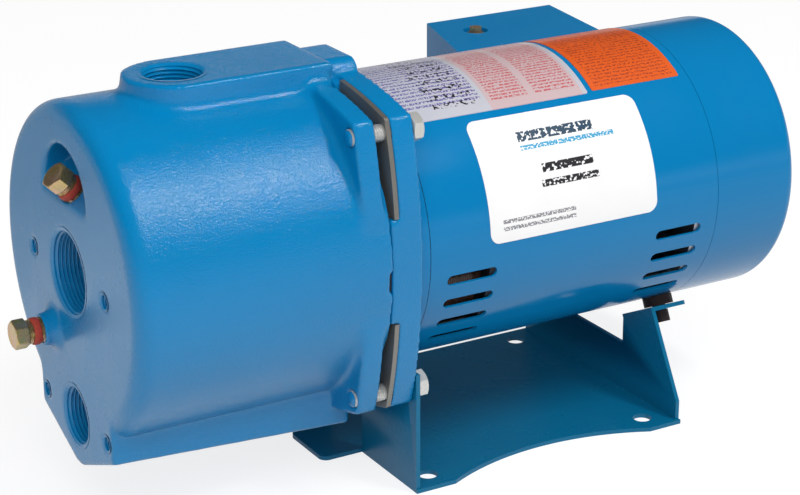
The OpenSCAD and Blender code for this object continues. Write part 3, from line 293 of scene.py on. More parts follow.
def weigh(obj, label, weights):
    """A vertex group with the given weight for each corner, in steps of a tenth."""
    group = obj.vertex_groups.new(name=label)
    steps = np.round(weights * 10).astype(int)
    for step in range(1, 11):
        group.add(np.flatnonzero(steps == step).tolist(), step / 10, "REPLACE")


def cast_copy(name, node, voxel, passes, keep, rules=()):
    """A CAD solid with every edge rounded as a sand casting's is.

    The solid is resampled in cubes of the voxel size, and each pass moves a corner
    half way to the mean of its neighbours, which rounds edges and fills inner corners.
    rules = [(label, passes, function)]: further passes where function(x, y, z), on
    coordinates from the front face and the shaft, gives a weight from 0 to 1.
    """
    obj = new_object(name, merged_copy(node))
    cubes = obj.modifiers.new("cubes", "REMESH")
    cubes.mode = "VOXEL"
    cubes.voxel_size = voxel
    apply_modifiers(obj)
    x, y, z = (coordinates(obj.data) - (FACE_X, 0, SHAFT_Z)).T
    for label, count, rule in (("all_over", passes, None), *rules):
        even = obj.modifiers.new(label, "SMOOTH")
        even.factor = 0.5
        even.iterations = count
        if rule:
            weigh(obj, label, rule(x, y, z))
            even.vertex_group = label
    fewer = obj.modifiers.new("fewer", "DECIMATE")
    fewer.ratio = keep
    apply_modifiers(obj)
    obj.vertex_groups.clear()
    smooth(obj.data)
    return obj


def eased_copy(name, node, width):
    """A CAD solid with its sharp edges eased, by the width at most.

    Overlap is clamped, so short edges cut the easing down: about 0.08 mm is left on the
    seal plate, under 0.04 mm on the terminal box, and none on the base.
    """
    mesh = merged_copy(node)
    work = bmesh.new()
    work.from_mesh(mesh)
    bmesh.ops.dissolve_limit(work, angle_limit=math.radians(1.0), verts=work.verts,
                             edges=work.edges)
    work.to_mesh(mesh)
    work.free()
    obj = new_object(name, mesh)
    ease = obj.modifiers.new("ease", "BEVEL")
    ease.width = width
    ease.segments = 2
    ease.limit_method = "ANGLE"
    ease.angle_limit = math.radians(40)
    ease.harden_normals = False
    ease.use_clamp_overlap = True
    apply_modifiers(obj)
    soft_edges(obj.data, 14)
    return obj


def soft_edges(mesh, angle=35):
    """Smooth shading with creases kept sharp where faces meet past the angle."""
    smooth(mesh)
    mesh.set_sharp_from_angle(angle=math.radians(angle))


# ---- shader nodes -----------------------------------------------------------

def put(tree, kind, feed=None, **settings):
    """Adds a node; feed gives each input a value or a socket to link."""
    node = tree.nodes.new("ShaderNode" + kind)
    for key, value in settings.items():
        setattr(node, key, value)
    for key, value in (feed or {}).items():
        if isinstance(value, bpy.types.NodeSocket):
            tree.links.new(value, node.inputs[key])
        else:
            node.inputs[key].default_value = value
    return node


def calc(tree, operation, *values):
    return put(tree, "Math", dict(enumerate(values)), operation=operation).outputs[0]


def blend_colour(tree, share, a, b):
    mix = put(tree, "Mix", data_type="RGBA")
    for slot, value in ((0, share), (6, a), (7, b)):
        if isinstance(value, bpy.types.NodeSocket):
            tree.links.new(value, mix.inputs[slot])
        else:
            mix.inputs[slot].default_value = value
    return mix.outputs[2]


def remap(tree, value, a, b, c, d):
    feed = {"Value": value, "From Min": a, "From Max": b, "To Min": c, "To Max": d}
    return put(tree, "MapRange", feed).outputs[0]


def new_group(name, inputs, outputs, build):
    """A shader node group with named sockets; build(tree, inputs) returns the outputs."""
    tree = bpy.data.node_groups.new(name, "ShaderNodeTree")
    for label, kind, default in inputs:
        socket = tree.interface.new_socket(label, in_out="INPUT", socket_type="NodeSocket" + kind)
        if default is not None:
            socket.default_value = default
    for label, kind in outputs:
        tree.interface.new_socket(label, in_out="OUTPUT", socket_type="NodeSocket" + kind)
    start = tree.nodes.new("NodeGroupInput")
    end = tree.nodes.new("NodeGroupOutput")
    for socket, value in zip(end.inputs, build(tree, start.outputs)):
        tree.links.new(value, socket)
    return tree


def grain_nodes(t, i):
    """Sand grain: fine noise and rounded cells, over a slow swell of the mould."""
    fine = put(t, "TexNoise", {"Vector": i["Vector"], "Scale": i["Grains per metre"],
                               "Detail": 2.0, "Roughness": 0.55})
    cells = put(t, "TexVoronoi", {"Vector": i["Vector"],
                                  "Scale": calc(t, "MULTIPLY", i["Grains per metre"], 0.8),
                                  "Smoothness": 0.6}, feature="SMOOTH_F1")
    swell = put(t, "TexNoise", {"Vector": i["Vector"], "Scale": 45.0, "Detail": 1.0})
    grain = calc(t, "ADD", fine.outputs["Fac"],
                 calc(t, "MULTIPLY", cells.outputs["Distance"], -0.7))
    grain = calc(t, "MULTIPLY", grain, i["Grain"])
    return [calc(t, "ADD", grain, calc(t, "MULTIPLY", swell.outputs["Fac"], i["Swell"]))]


def film_nodes(t, i):
    """Paint film: its colour drifts slowly, with pale dust specks and drier patches."""
    drift = put(t, "TexNoise", {"Vector": i["Vector"], "Scale": 9.0, "Detail": 3.0})
    shade = remap(t, drift.outputs["Fac"], 0.3, 0.7, calc(t, "SUBTRACT", 1.0, i["Drift"]),
                  calc(t, "ADD", 1.0, i["Drift"]))
    tinted = put(t, "VectorMath", {0: i["Colour"], 1: put(
        t, "CombineXYZ", {0: shade, 1: shade, 2: shade}).outputs[0]},
        operation="MULTIPLY").outputs[0]
    specks = put(t, "TexVoronoi", {"Vector": i["Vector"], "Scale": 130.0})
    size = put(t, "TexNoise", {"Vector": i["Vector"], "Scale": 31.0})
    mask = remap(t, specks.outputs["Distance"],
                 calc(t, "MULTIPLY", size.outputs["Fac"], 0.06), 0.0, 0.0, 1.0)
    mask = calc(t, "MULTIPLY", mask, i["Specks"])
    colour = blend_colour(t, mask, tinted, (0.6, 0.7, 0.75, 1))
    patch = put(t, "TexNoise", {"Vector": i["Vector"], "Scale": 24.0, "Detail": 4.0})
    rough = remap(t, patch.outputs["Fac"], 0.3, 0.7, calc(t, "SUBTRACT", i["Roughness"], 0.04),
                  calc(t, "ADD", i["Roughness"], 0.05))
    return [colour, rough]


def turned_nodes(t, i):
    """Turning marks: fine rings along X with a little chatter, for lathe-cut metal."""
    rings = put(t, "TexWave", {"Vector": i["Vector"], "Scale": i["Rings per metre"],
                               "Distortion": 0.6, "Detail": 2.0, "Detail Scale": 3.0},
                wave_type="BANDS", bands_direction="X")
    stains = put(t, "TexNoise", {"Vector": i["Vector"], "Scale": 60.0, "Detail": 4.0})
    return [rings.outputs["Fac"], stains.outputs["Fac"]]


def zinc_nodes(t, i):
    """Yellow chromate on zinc: straw, pink and green tints drift over the metal."""
    first = put(t, "TexNoise", {"Vector": i["Vector"], "Scale": 150.0, "Detail": 2.0})
    second = put(t, "TexNoise", {"Vector": i["Vector"], "Scale": 95.0, "Detail": 2.0,
                                 "Distortion": 1.2})
    a = blend_colour(t, remap(t, first.outputs["Fac"], 0.35, 0.65, 0, 1),
                     i["Straw"], i["Pink"])
    b = blend_colour(t, remap(t, second.outputs["Fac"], 0.5, 0.75, 0, 0.8), a, i["Green"])
    return [b, remap(t, second.outputs["Fac"], 0.3, 0.7, 0.22, 0.4)]


def panel_nodes(t, i):
    """1 inside a rectangle of the label, 0 outside."""
    mask = None
    for axis, low, high in (("U", "From U", "To U"), ("V", "From V", "To V")):
        for a, b in ((i[axis], i[low]), (i[high], i[axis])):
            step = calc(t, "GREATER_THAN", a, b)
            mask = step if mask is None else calc(t, "MULTIPLY", mask, step)
    return [mask]


def rows_nodes(t, i):
    """Rows of uneven specks: a blank stand-in for print, with no letters in it."""
    row = calc(t, "DIVIDE", i["V"], i["Row"])
    stripe = calc(t, "LESS_THAN", calc(t, "FRACT", row), 0.55)
    number = calc(t, "MULTIPLY", calc(t, "FLOOR", row), 7.31)
    tall = calc(t, "ADD", number, calc(t, "DIVIDE", i["V"], i["Dash"]))
    spot = put(t, "CombineXYZ", {0: calc(t, "DIVIDE", i["U"], i["Dash"]), 1: tall})
    words = put(t, "TexNoise", {"Vector": spot.outputs[0], "Scale": 1.0, "Detail": 1.0})
    gap = calc(t, "GREATER_THAN", words.outputs["Fac"], i["Sparse"])
    return [calc(t, "MULTIPLY", stripe, gap)]


VECTOR = ("Vector", "Vector", None)
GRAIN = new_group("sand_grain", [VECTOR, ("Grains per metre", "Float", 700.0),
                                 ("Grain", "Float", 1.0), ("Swell", "Float", 1.0)],
                  [("Height", "Float")], grain_nodes)
FILM = new_group("paint_film", [VECTOR, ("Colour", "Color", (0, 0, 0, 1)),
                                ("Drift", "Float", 0.05), ("Specks", "Float", 0.5),
                                ("Roughness", "Float", 0.3)],
                 [("Colour", "Color"), ("Roughness", "Float")], film_nodes)
TURNED = new_group("turning_marks", [VECTOR, ("Rings per metre", "Float", 800.0)],
                   [("Height", "Float"), ("Stain", "Float")], turned_nodes)
ZINC = new_group("zinc_bloom", [VECTOR, ("Straw", "Color", (0.55, 0.42, 0.16, 1)),
                                ("Pink", "Color", (0.62, 0.40, 0.27, 1)),
                                ("Green", "Color", (0.40, 0.45, 0.24, 1))],
                 [("Colour", "Color"), ("Roughness", "Float")], zinc_nodes)
PANEL = new_group("label_panel", [("U", "Float", 0.0), ("V", "Float", 0.0),
                                  ("From U", "Float", 0.0), ("To U", "Float", 1.0),
                                  ("From V", "Float", 0.0), ("To V", "Float", 1.0)],
                  [("Mask", "Float")], panel_nodes)
ROWS = new_group("label_rows", [("U", "Float", 0.0), ("V", "Float", 0.0),
                                ("Row", "Float", 0.002), ("Dash", "Float", 0.003),
                                ("Sparse", "Float", 0.45)],
                 [("Mask", "Float")], rows_nodes)


def use(tree, group, **feed):
    node = tree.nodes.new("ShaderNodeGroup")
    node.node_tree = group
    for key, value in feed.items():
        key = key.replace("_", " ")
        if isinstance(value, bpy.types.NodeSocket):
            tree.links.new(value, node.inputs[key])
        else:
            node.inputs[key].default_value = value
    return node.outputs


def new_material(name, **sockets):
    """A Principled material; sockets are constants set on the shader itself."""
    material = bpy.data.materials.new(name)
    material.use_nodes = True
    tree = material.node_tree
    shader = tree.nodes["Principled BSDF"]
    for key, value in sockets.items():
        shader.inputs[key.replace("_", " ")].default_value = value
    place_at = put(tree, "TexCoord").outputs["Object"]
    return material, tree, shader, place_at


def relief(tree, shader, height, distance):
    bump = put(tree, "Bump", {"Height": height, "Distance": distance, "Strength": 1.0})
    tree.links.new(bump.outputs[0], shader.inputs["Normal"])


def painted(name, colour, roughness, gloss=0.25, grain=0.0, per_metre=700.0, swell=0.3,
            specks=0.3, drift=0.04):
    """Enamel over cast iron or steel sheet."""
    material, tree, shader, at = new_material(name, Specular_IOR_Level=gloss)
    film = use(tree, FILM, Vector=at, Colour=(*colour, 1), Roughness=roughness,
               Specks=specks, Drift=drift)
    tree.links.new(film["Colour"], shader.inputs["Base Color"])
    tree.links.new(film["Roughness"], shader.inputs["Roughness"])
    skin = use(tree, GRAIN, Vector=at, Grains_per_metre=per_metre, Grain=grain, Swell=swell)
    relief(tree, shader, skin["Height"], 0.0008)
    return material


def metal(name, colour, roughness, rings=900.0, mark=0.00003, stain=0.15, metallic=1.0):
    """Bare machined or pressed metal; a dull oxide or plating film is less metallic."""
    material, tree, shader, at = new_material(name, Metallic=metallic)
    marks = use(tree, TURNED, Vector=at, Rings_per_metre=rings)
    low = tuple(c * (1 - stain) for c in colour) + (1,)
    tree.links.new(blend_colour(tree, marks["Stain"], low, (*colour, 1)),
                   shader.inputs["Base Color"])
    tree.links.new(remap(tree, marks["Stain"], 0.3, 0.7, roughness - 0.06, roughness + 0.1),
                   shader.inputs["Roughness"])
    relief(tree, shader, marks["Height"], mark)
    return material


def moulded(name, colour, roughness, grain=0.25, per_metre=1500.0, drift=0.08):
    """Moulded rubber, nylon, phenolic or composite."""
    material, tree, shader, at = new_material(name, Specular_IOR_Level=0.4)
    film = use(tree, FILM, Vector=at, Colour=(*colour, 1), Roughness=roughness,
               Specks=0.1, Drift=drift)
    tree.links.new(film["Colour"], shader.inputs["Base Color"])
    tree.links.new(film["Roughness"], shader.inputs["Roughness"])
    skin = use(tree, GRAIN, Vector=at, Grains_per_metre=per_metre, Grain=grain, Swell=0.1)
    relief(tree, shader, skin["Height"], 0.0003)
    return material


def zinc_plated(name):
    material, tree, shader, at = new_material(name, Metallic=0.8)
    bloom = use(tree, ZINC, Vector=at)
    tree.links.new(bloom["Colour"], shader.inputs["Base Color"])
    tree.links.new(bloom["Roughness"], shader.inputs["Roughness"])
    skin = use(tree, GRAIN, Vector=at, Grains_per_metre=2500.0, Grain=0.2, Swell=0.0)
    relief(tree, shader, skin["Height"], 0.0002)
    return material


CASTING_BLUE = (0.001, 0.212, 0.492)
SHELL_BLUE = (0.001, 0.197, 0.462)
SHEET_BLUE = (0.002, 0.145, 0.285)

casing_paint = painted("casing_enamel", CASTING_BLUE, 0.10, gloss=0.5, grain=0.25, per_metre=1250,
                       swell=0.2)
face_paint = painted("front_face_enamel", CASTING_BLUE, 0.26, gloss=0.70, grain=0.06,
                     per_metre=900, swell=0.25)
shell_paint = painted("shell_enamel", SHELL_BLUE, 0.16, gloss=0.35, grain=0.012, per_metre=350,
                      swell=0.03, specks=0.2, drift=0.02)
base_paint = painted("base_enamel", SHEET_BLUE, 0.28, gloss=0.3, grain=0.03, per_metre=400,
                     swell=0.1, specks=0.8)
box_paint = painted("box_enamel", SHELL_BLUE, 0.24, gloss=0.14, grain=0.012, per_metre=350,
                    swell=0.03, specks=0.4, drift=0.03)
# Near-black blue: painted shade of a thin seam line round the shell's front.
seam_shade_paint = painted("seam_shadow", (0.001, 0.03, 0.07), 0.5, gloss=0.1)
plated_steel = metal("plated_steel", (0.72, 0.72, 0.69), 0.30, rings=1400, mark=0.00002,
                     metallic=0.45)
bare_steel = metal("bare_steel", (0.27, 0.26, 0.24), 0.40, metallic=0.6)
bearing_steel = metal("bearing_steel", (0.62, 0.63, 0.65), 0.12, mark=0.00001)
# Lamination steel's own dull grey, darkened further as painted shade of the motor's inside.
shaded_core_steel = metal("lamination_stack_shaded", (0.10, 0.10, 0.105), 0.5, rings=1600, mark=0.00012)
die_cast = metal("die_cast_alloy", (0.55, 0.55, 0.56), 0.42, rings=400, mark=0.00004)
brass = metal("brass", (0.62, 0.43, 0.16), 0.3)
spring = metal("spring_wire", (0.5, 0.5, 0.5), 0.2)
yellow_zinc = zinc_plated("yellow_zinc")
sealant = moulded("thread_sealant", (0.42, 0.05, 0.03), 0.55, grain=0.8, per_metre=900)
rubber = moulded("black_rubber", (0.02, 0.02, 0.021), 0.6)
bumper_rubber = moulded("bumper_rubber", (0.03, 0.018, 0.018), 0.55)
composite = moulded("dark_composite", (0.03, 0.03, 0.032), 0.45)
impeller_plastic = moulded("impeller_composite", (0.35, 0.33, 0.26), 0.45)
ceramic = moulded("seat_ceramic", (0.8, 0.79, 0.75), 0.2, grain=0.05)
carbon = moulded("seal_carbon", (0.03, 0.03, 0.032), 0.3, grain=0.1)
nylon = moulded("nylon", (0.7, 0.69, 0.62), 0.45)
phenolic = moulded("phenolic_board", (0.16, 0.07, 0.03), 0.4)
fibre = moulded("gasket_fibre", (0.13, 0.13, 0.13), 0.8, grain=1.0, per_metre=2200)
green_paint = painted("ground_screw_green", (0.02, 0.22, 0.07), 0.35)


def shaded_enamelled_wire():
    """Varnished copper wire in near-black tones, as painted shade of the motor's inside: wavy bands across X, so
    the strands run round the stator.
    """
    material, tree, shader, at = new_material("shaded_enamelled_wire", Metallic=0.6, Coat_Weight=0.5,
                                              Coat_Roughness=0.2)
    strands = put(tree, "TexWave", {"Vector": at, "Scale": 260.0, "Distortion": 6.0,
                                    "Detail": 2.0, "Detail Scale": 0.8},
                  wave_type="BANDS", bands_direction="X")
    # Both tones are kept near black as painted shade of the motor's inside, seen through the slots.
    tone = blend_colour(tree, strands.outputs["Fac"], (0.02, 0.008, 0.004, 1),
                        (0.14, 0.05, 0.016, 1))
    tree.links.new(tone, shader.inputs["Base Color"])
    rough = remap(tree, strands.outputs["Fac"], 0, 1, 0.45, 0.28)
    tree.links.new(rough, shader.inputs["Roughness"])
    relief(tree, shader, strands.outputs["Fac"], 0.0005)
    return material


shaded_winding = shaded_enamelled_wire()


def label_coordinates(tree, at):
    """U runs along the shell in metres; V runs up round it, in metres of arc."""
    parts = put(tree, "SeparateXYZ", {0: at})
    up = calc(tree, "SUBTRACT", parts.outputs[2], SHAFT_Z)
    near = calc(tree, "MULTIPLY", parts.outputs[1], -1.0)
    angle = calc(tree, "ARCTAN2", up, near)
    return parts.outputs[0], calc(tree, "MULTIPLY", angle, SHELL_R)


def printed(name, stock, prints, roughness=0.3, metallic=0.0):
    """A label: stock colour with panels of plain colour and rows of blank dashes.

    prints = [(u0, u1, v0, v1, colour, row, dash, sparse)], u from the shell's front edge
    and v as arc from the near side, in millimetres; row 0 fills the panel.
    """
    material, tree, shader, at = new_material(name, Metallic=metallic, Coat_Weight=0.3,
                                              Coat_Roughness=0.15)
    u, v = label_coordinates(tree, at)
    drift = put(tree, "TexNoise", {"Vector": at, "Scale": 40.0, "Detail": 3.0})
    base = blend_colour(tree, drift.outputs["Fac"], tuple(c * 0.93 for c in stock) + (1,),
                        (*stock, 1))
    for u0, u1, v0, v1, colour, row, dash, sparse in prints:
        area = use(tree, PANEL, U=u, V=v, From_U=SHELL_LOW.x + u0 * MM,
                   To_U=SHELL_LOW.x + u1 * MM, From_V=v0 * MM, To_V=v1 * MM)["Mask"]
        if row:
            dashes = use(tree, ROWS, U=u, V=v, Row=row * MM, Dash=dash * MM, Sparse=sparse)
            area = calc(tree, "MULTIPLY", area, dashes["Mask"])
        base = blend_colour(tree, area, base, (*colour, 1))
    tree.links.new(base, shader.inputs["Base Color"])
    tree.links.new(remap(tree, drift.outputs["Fac"], 0.3, 0.7, roughness, roughness + 0.12),
                   shader.inputs["Roughness"])
    return material


INK = (0.02, 0.02, 0.025)
NAVY = (0.01, 0.05, 0.10)
GREY = (0.25, 0.25, 0.27)
CYAN = (0.02, 0.36, 0.62)
RED = (0.62, 0.12, 0.13)
VIOLET = (0.16, 0.14, 0.40)
plate_print = printed("name_plate_print", (0.94, 0.94, 0.94), [
    (76, 126, 54, 62, NAVY, 11.0, 2.2, 0.44), (76, 138, 49, 53, CYAN, 5.0, 1.3, 0.45),
    (86, 120, 35, 42, INK, 9.0, 2.6, 0.42), (84, 122, 27, 32, INK, 7.0, 1.8, 0.44),
    (56, 104, 7, 15, GREY, 4.0, 1.0, 0.45),
])
silver_print = printed("rating_print", (0.60, 0.61, 0.68), [
    (8, 66, 86, 150, VIOLET, 3.0, 1.2, 0.47), (34, 62, 84, 150, INK, 7.0, 2.2, 0.55),
    (69, 130, 70, 152, (0.66, 0.50, 0.52), 0, 0, 0),
    (72, 96, 84, 150, RED, 2.4, 1.2, 0.47), (101, 128, 84, 150, RED, 2.4, 1.2, 0.47),
], roughness=0.28, metallic=0.1)
orange_print = printed("orange_stock", (0.80, 0.115, 0.01), [
    (140, 194, 81, 150, (0.40, 0.05, 0.015), 2.6, 1.5, 0.5),
])

FINISH = {
    "pump_casing": casing_paint, "casing_gasket": fibre, "seal_plate": bare_steel,
    "diffuser": composite, "diffuser_ring": rubber, "diffuser_screws": bare_steel,
    "impeller": impeller_plastic, "impeller_insert": brass, "seal_seat": ceramic,
    "seal_seat_cup": rubber, "seal_head": carbon, "seal_spring": spring,
    "seal_retainer": bare_steel, "shaft_slinger": rubber, "drain_plug": yellow_zinc,
    "drain_plug_sealant": sealant, "priming_plug": yellow_zinc,
    "priming_plug_sealant": sealant, "flange_bolts": yellow_zinc,
    "motor_front_bell": casing_paint, "shaft": bare_steel, "rotor_core": shaded_core_steel,
    "rotor_cage": die_cast, "cooling_fan": nylon, "stator_core": shaded_core_steel,
    "stator_windings": shaded_winding, "motor_shell": shell_paint, "rear_bell": die_cast,
    "rear_cover": shell_paint, "cover_screws": bare_steel,
    "front_bearing_outer": bearing_steel, "front_bearing_inner": bearing_steel,
    "front_bearing_cage": brass, "front_bearing_balls": bearing_steel,
    "rear_bearing_outer": bearing_steel, "rear_bearing_inner": bearing_steel,
    "rear_bearing_cage": brass, "rear_bearing_balls": bearing_steel,
    "wave_washer": spring, "snap_ring": spring, "through_bolts": bare_steel,
    "governor": bare_steel, "governor_collar": nylon, "switch_plate": phenolic,
    "switch_arm": phenolic, "terminal_board": phenolic, "overload_protector": composite,
    "ground_screw": green_paint, "terminal_box": box_paint,
    "terminal_box_screw": yellow_zinc, "box_bracket": bare_steel,
    "start_capacitor": composite, "capacitor_clip": bare_steel,
    "base_bracket": base_paint, "rear_bumpers": bumper_rubber,
    "name_plate": plate_print, "rating_label": silver_print, "orange_label": orange_print,
}
for node_name, finish in FINISH.items():
    data = NODES[node_name].data
    data.materials.clear()
    data.materials.append(finish)


def dress(obj, finish, body, stands_for=()):
    """Gives a new piece its finish, the body it rides on and the nodes it stands for."""
    obj.data.materials.clear()
    obj.data.materials.append(finish)
    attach(obj, body)
    if stands_for:
        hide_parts(*stands_for)
    return obj


# ---- casing -----------------------------------------------------------------

BODY_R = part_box("pump_casing")[1].y
BOSS_X = MOUNTS["discharge_port"]["pos_m"][0] - FACE_X
BOSS_R = 28 * MM
JOINT_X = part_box("casing_gasket")[0].x - FACE_X
EAR_X = JOINT_X - 16.5 * MM


def near(limit, soft, *distances):
    """1 where every distance is small, falling to 0 over the soft width at the limit."""
    return np.clip((limit - np.max(np.abs(distances), axis=0)) / soft, 0, 1)


def boss_foot(x, y, z):
    """Where the discharge boss stands on the barrel: its wall and the barrel's both near."""
    wall = np.hypot(np.minimum(x - BOSS_X, 0), y) - BOSS_R
    return near(10 * MM, 5 * MM, wall, np.hypot(y, z) - BODY_R) * (z > 0)


def flange_foot(x, y, z):
    """Where the flange stands on the barrel."""
    return near(7 * MM, 4 * MM, x - EAR_X, np.hypot(y, z) - BODY_R)


casing = dress(cast_copy("casing_casting", "pump_casing", 1.3 * MM, 7, 0.6,
                         [("boss_foot", 60, boss_foot), ("flange_foot", 24, flange_foot)]),
               casing_paint, "frame", ["pump_casing"])
casing.data.materials.append(face_paint)
normal = np.zeros(len(casing.data.polygons) * 3)
middle = normal.copy()
casing.data.polygons.foreach_get("normal", normal)
casing.data.polygons.foreach_get("center", middle)
flat = (normal[::3] < -0.995) & (middle[::3] < FACE_X + 1.0 * MM)
casing.data.polygons.foreach_set("material_index", flat.astype(np.int32))

PIPE_PITCH, PIPE_LIP, PIPE_LEAD = 2.209 * MM, 2.2 * MM, 0.8 * MM
FRONT_TAP, TOP_TAP = 24 * MM, 15 * MM
PORTS = {}
for port, depth in (("suction_port", 1.25), ("drive_port", 1.15), ("discharge_port", 1.15)):
    mount = MOUNTS[port]
    axis = np.array(mount["axis"], float)
    mouth = np.array(mount["pos_m"], float)
    if abs(axis[0]) > 0.5:
        mouth[0] = FACE_X
    else:
        mouth[2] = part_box("pump_casing")[1].z
    PORTS[port] = (mouth, axis, (mount["dims"]["r_mm"] + 0.8) * MM)
    wall = tapped_wall(port + "_thread", mouth, axis, mount["dims"]["r_mm"] * MM, PIPE_PITCH,
                       depth * MM, FRONT_TAP if axis[0] else TOP_TAP, PIPE_LIP, PIPE_LEAD)
    dress(new_object(port + "_thread", wall), face_paint if axis[0] else casing_paint,
          "frame")
for row in ("suction", "drive"):
    mount = MOUNTS[row + "_adapter_screws"]
    for side, sign in (("far", 1), ("near", -1)):
        mouth = np.array(mount["pos_m"], float)
        mouth[1] += sign * mount["dims"]["spacing_x_mm"] / 2 * MM
        axis = np.array(mount["axis"], float)
        name = row + "_screw_" + side
        PORTS[name] = (mouth, axis, mount["dims"]["hole_r_mm"] * MM)
        wall = tapped_wall(name, mouth, axis, mount["dims"]["hole_r_mm"] * MM, 1.6 * MM,
                           0.5 * MM, 7.5 * MM, 1.0 * MM, 0.25 * MM)
        dress(new_object(name, wall), face_paint, "frame")

dress(cast_copy("bell_casting", "motor_front_bell", 1.0 * MM, 4, 0.5),
      casing_paint, "frame", ["motor_front_bell"])
for piece_name, node_name, width, finish, slot in (
        ("seal_plate_eased", "seal_plate", 0.35, bare_steel, "bare_steel"),
        ("base_eased", "base_bracket", 0.8, base_paint, "base_paint"),
        ("box_eased", "terminal_box", 1.4, box_paint, "motor_paint")):
    dress(eased_copy(piece_name, node_name, width * MM), finish, "frame", [node_name])

# ---- bolts, plugs and sealant -----------------------------------------------

BOLT_R, BOLT_PITCH = 4.76 * MM, 1.588 * MM
BOLT_HEAD, BOLT_AF, BOLT_CHAMFER, BOLT_TIP = 6 * MM, 14.3 * MM, 1.4 * MM, 1.5 * MM
corners = coordinates(NODES["flange_bolts"].data)
for level, up in (("upper", 1), ("lower", -1)):
    for side, sign in (("far", 1), ("near", -1)):
        own = corners[(corners[:, 1] * sign > 0) & ((corners[:, 2] - SHAFT_Z) * up > 0)]
        low, high = own.min(0), own.max(0)
        tip = np.array([low[0], (low[1] + high[1]) / 2, (low[2] + high[2]) / 2])
        length = high[0] - low[0]
        name = "flange_bolt_" + level + "_" + side
        bolt = new_object(name, screw(
            name, tip, (1, 0, 0), 0.0, (length - BOLT_HEAD, length, BOLT_AF),
            (0, length - BOLT_HEAD, BOLT_R, BOLT_PITCH, 0.8 * MM, BOLT_CHAMFER)))
        stands = ["flange_bolts"] if name == "flange_bolt_upper_near" else []
        dress(bolt, plated_steel, "frame", stands)
        bolt.data.materials.append(casing_paint)
        at = np.zeros(len(bolt.data.polygons) * 3)
        bolt.data.polygons.foreach_get("center", at)
        tipped = at[::3] < low[0] + BOLT_TIP
        bolt.data.polygons.foreach_set("material_index", tipped.astype(np.int32))
        soft_edges(bolt.data, 50)

PLUG_R, PLUG_PITCH, PLUG_AF = 6.8 * MM, 1.411 * MM, 14.6 * MM
PLUG_NECK, PLUG_HEAD, PLUG_DEPTH, SEALANT_W = 7.8 * MM, 7.5 * MM, 8 * MM, 4.6 * MM
for plug, turn in (("drain", 48), ("priming", 30)):
    joint = JOINTS[plug + "_plug_turn"]
    seat, axis = joint["pos_m"], joint["axis"]
    name = plug + "_plug_turned"
    body = new_object(name, screw(
        name, seat, axis, math.radians(turn), (PLUG_NECK, PLUG_NECK + PLUG_HEAD, PLUG_AF),
        (-PLUG_DEPTH, PLUG_NECK, PLUG_R, PLUG_PITCH, 0.75 * MM, 1 * MM)))
    dress(body, yellow_zinc, plug, [plug + "_plug"])
    soft_edges(body.data, 50)
    name = plug + "_sealant_smear"
    start = np.array(seat) + np.array(axis) * 0.35 * MM
    smear = new_object(name, lumpy_ring(name, start, axis, PLUG_R + 0.1 * MM, SEALANT_W,
                                        0.75 * MM, [(3, 0.18, 0.4), (7, 0.14, 1.9),
                                                    (13, 0.08, 0.3)]))
    dress(smear, sealant, plug + "_carrier", [plug + "_plug_sealant"])

# ---- motor trim -------------------------------------------------------------

SEAM_IN, SEAM_W = 9.3 * MM, 0.5 * MM


def seam_ring(name, x, wide, proud):
    """A thin half round line laid round the shell, dark as painted seam shade: radius = shell + proud * sin(phi).
    """
    theta = np.linspace(0, 2 * math.pi, 192, endpoint=False)
    phi = np.linspace(0, math.pi, 5)[:, None]
    r = SHELL_R - 0.02 * MM + proud * np.sin(phi) + 0 * theta
    s = -wide / 2 * np.cos(phi) + 0 * theta
    return sheet_mesh(name, [about(r, s, theta, (x, 0, SHAFT_Z), (1, 0, 0))])


# The dark line is painted shade of a seam round the shell's front.
dress(new_object("shell_front_seam", seam_ring("shell_front_seam", SHELL_LOW.x + SEAM_IN,
                                               SEAM_W, 0.06 * MM)),
      seam_shade_paint, "frame")


def lead_end(name, start, length, radius):
    """A bent lead: a tube of the given radius along a half wave of sin(pi t) upwards."""
    t = np.linspace(0, 1, 14)[:, None]
    theta = np.linspace(0, 2 * math.pi, 12, endpoint=False)
    rise = np.sin(math.pi * t) * length / 3
    x = start[0] + (t - 0.5) * length + 0 * theta
    y = start[1] + radius * np.cos(theta) + 0 * t
    z = start[2] + rise + radius * np.sin(theta)
    return sheet_mesh(name, [np.stack([x, y, z], -1)])


LEAD_AT = {"lead_end_upper": (495.0, 271.0), "lead_end_lower": (491.0, 293.0)}
for name, (x, y) in LEAD_AT.items():
    spot = place(x, y, NODES["stator_windings"])
    dress(new_object(name, lead_end(name, spot, 5 * MM, 0.9 * MM)), brass, "frame")

# ---- floor and light --------------------------------------------------------

floor_mesh = bpy.data.meshes.new("studio_floor")
floor_mesh.from_pydata([(-6, -6, 0), (6, -6, 0), (6, 6, 0), (-6, 6, 0)], [], [(0, 1, 2, 3)])
floor = new_object("studio_floor", floor_mesh)


FAR_FLOOR, GLOW = 0.06, 0.44


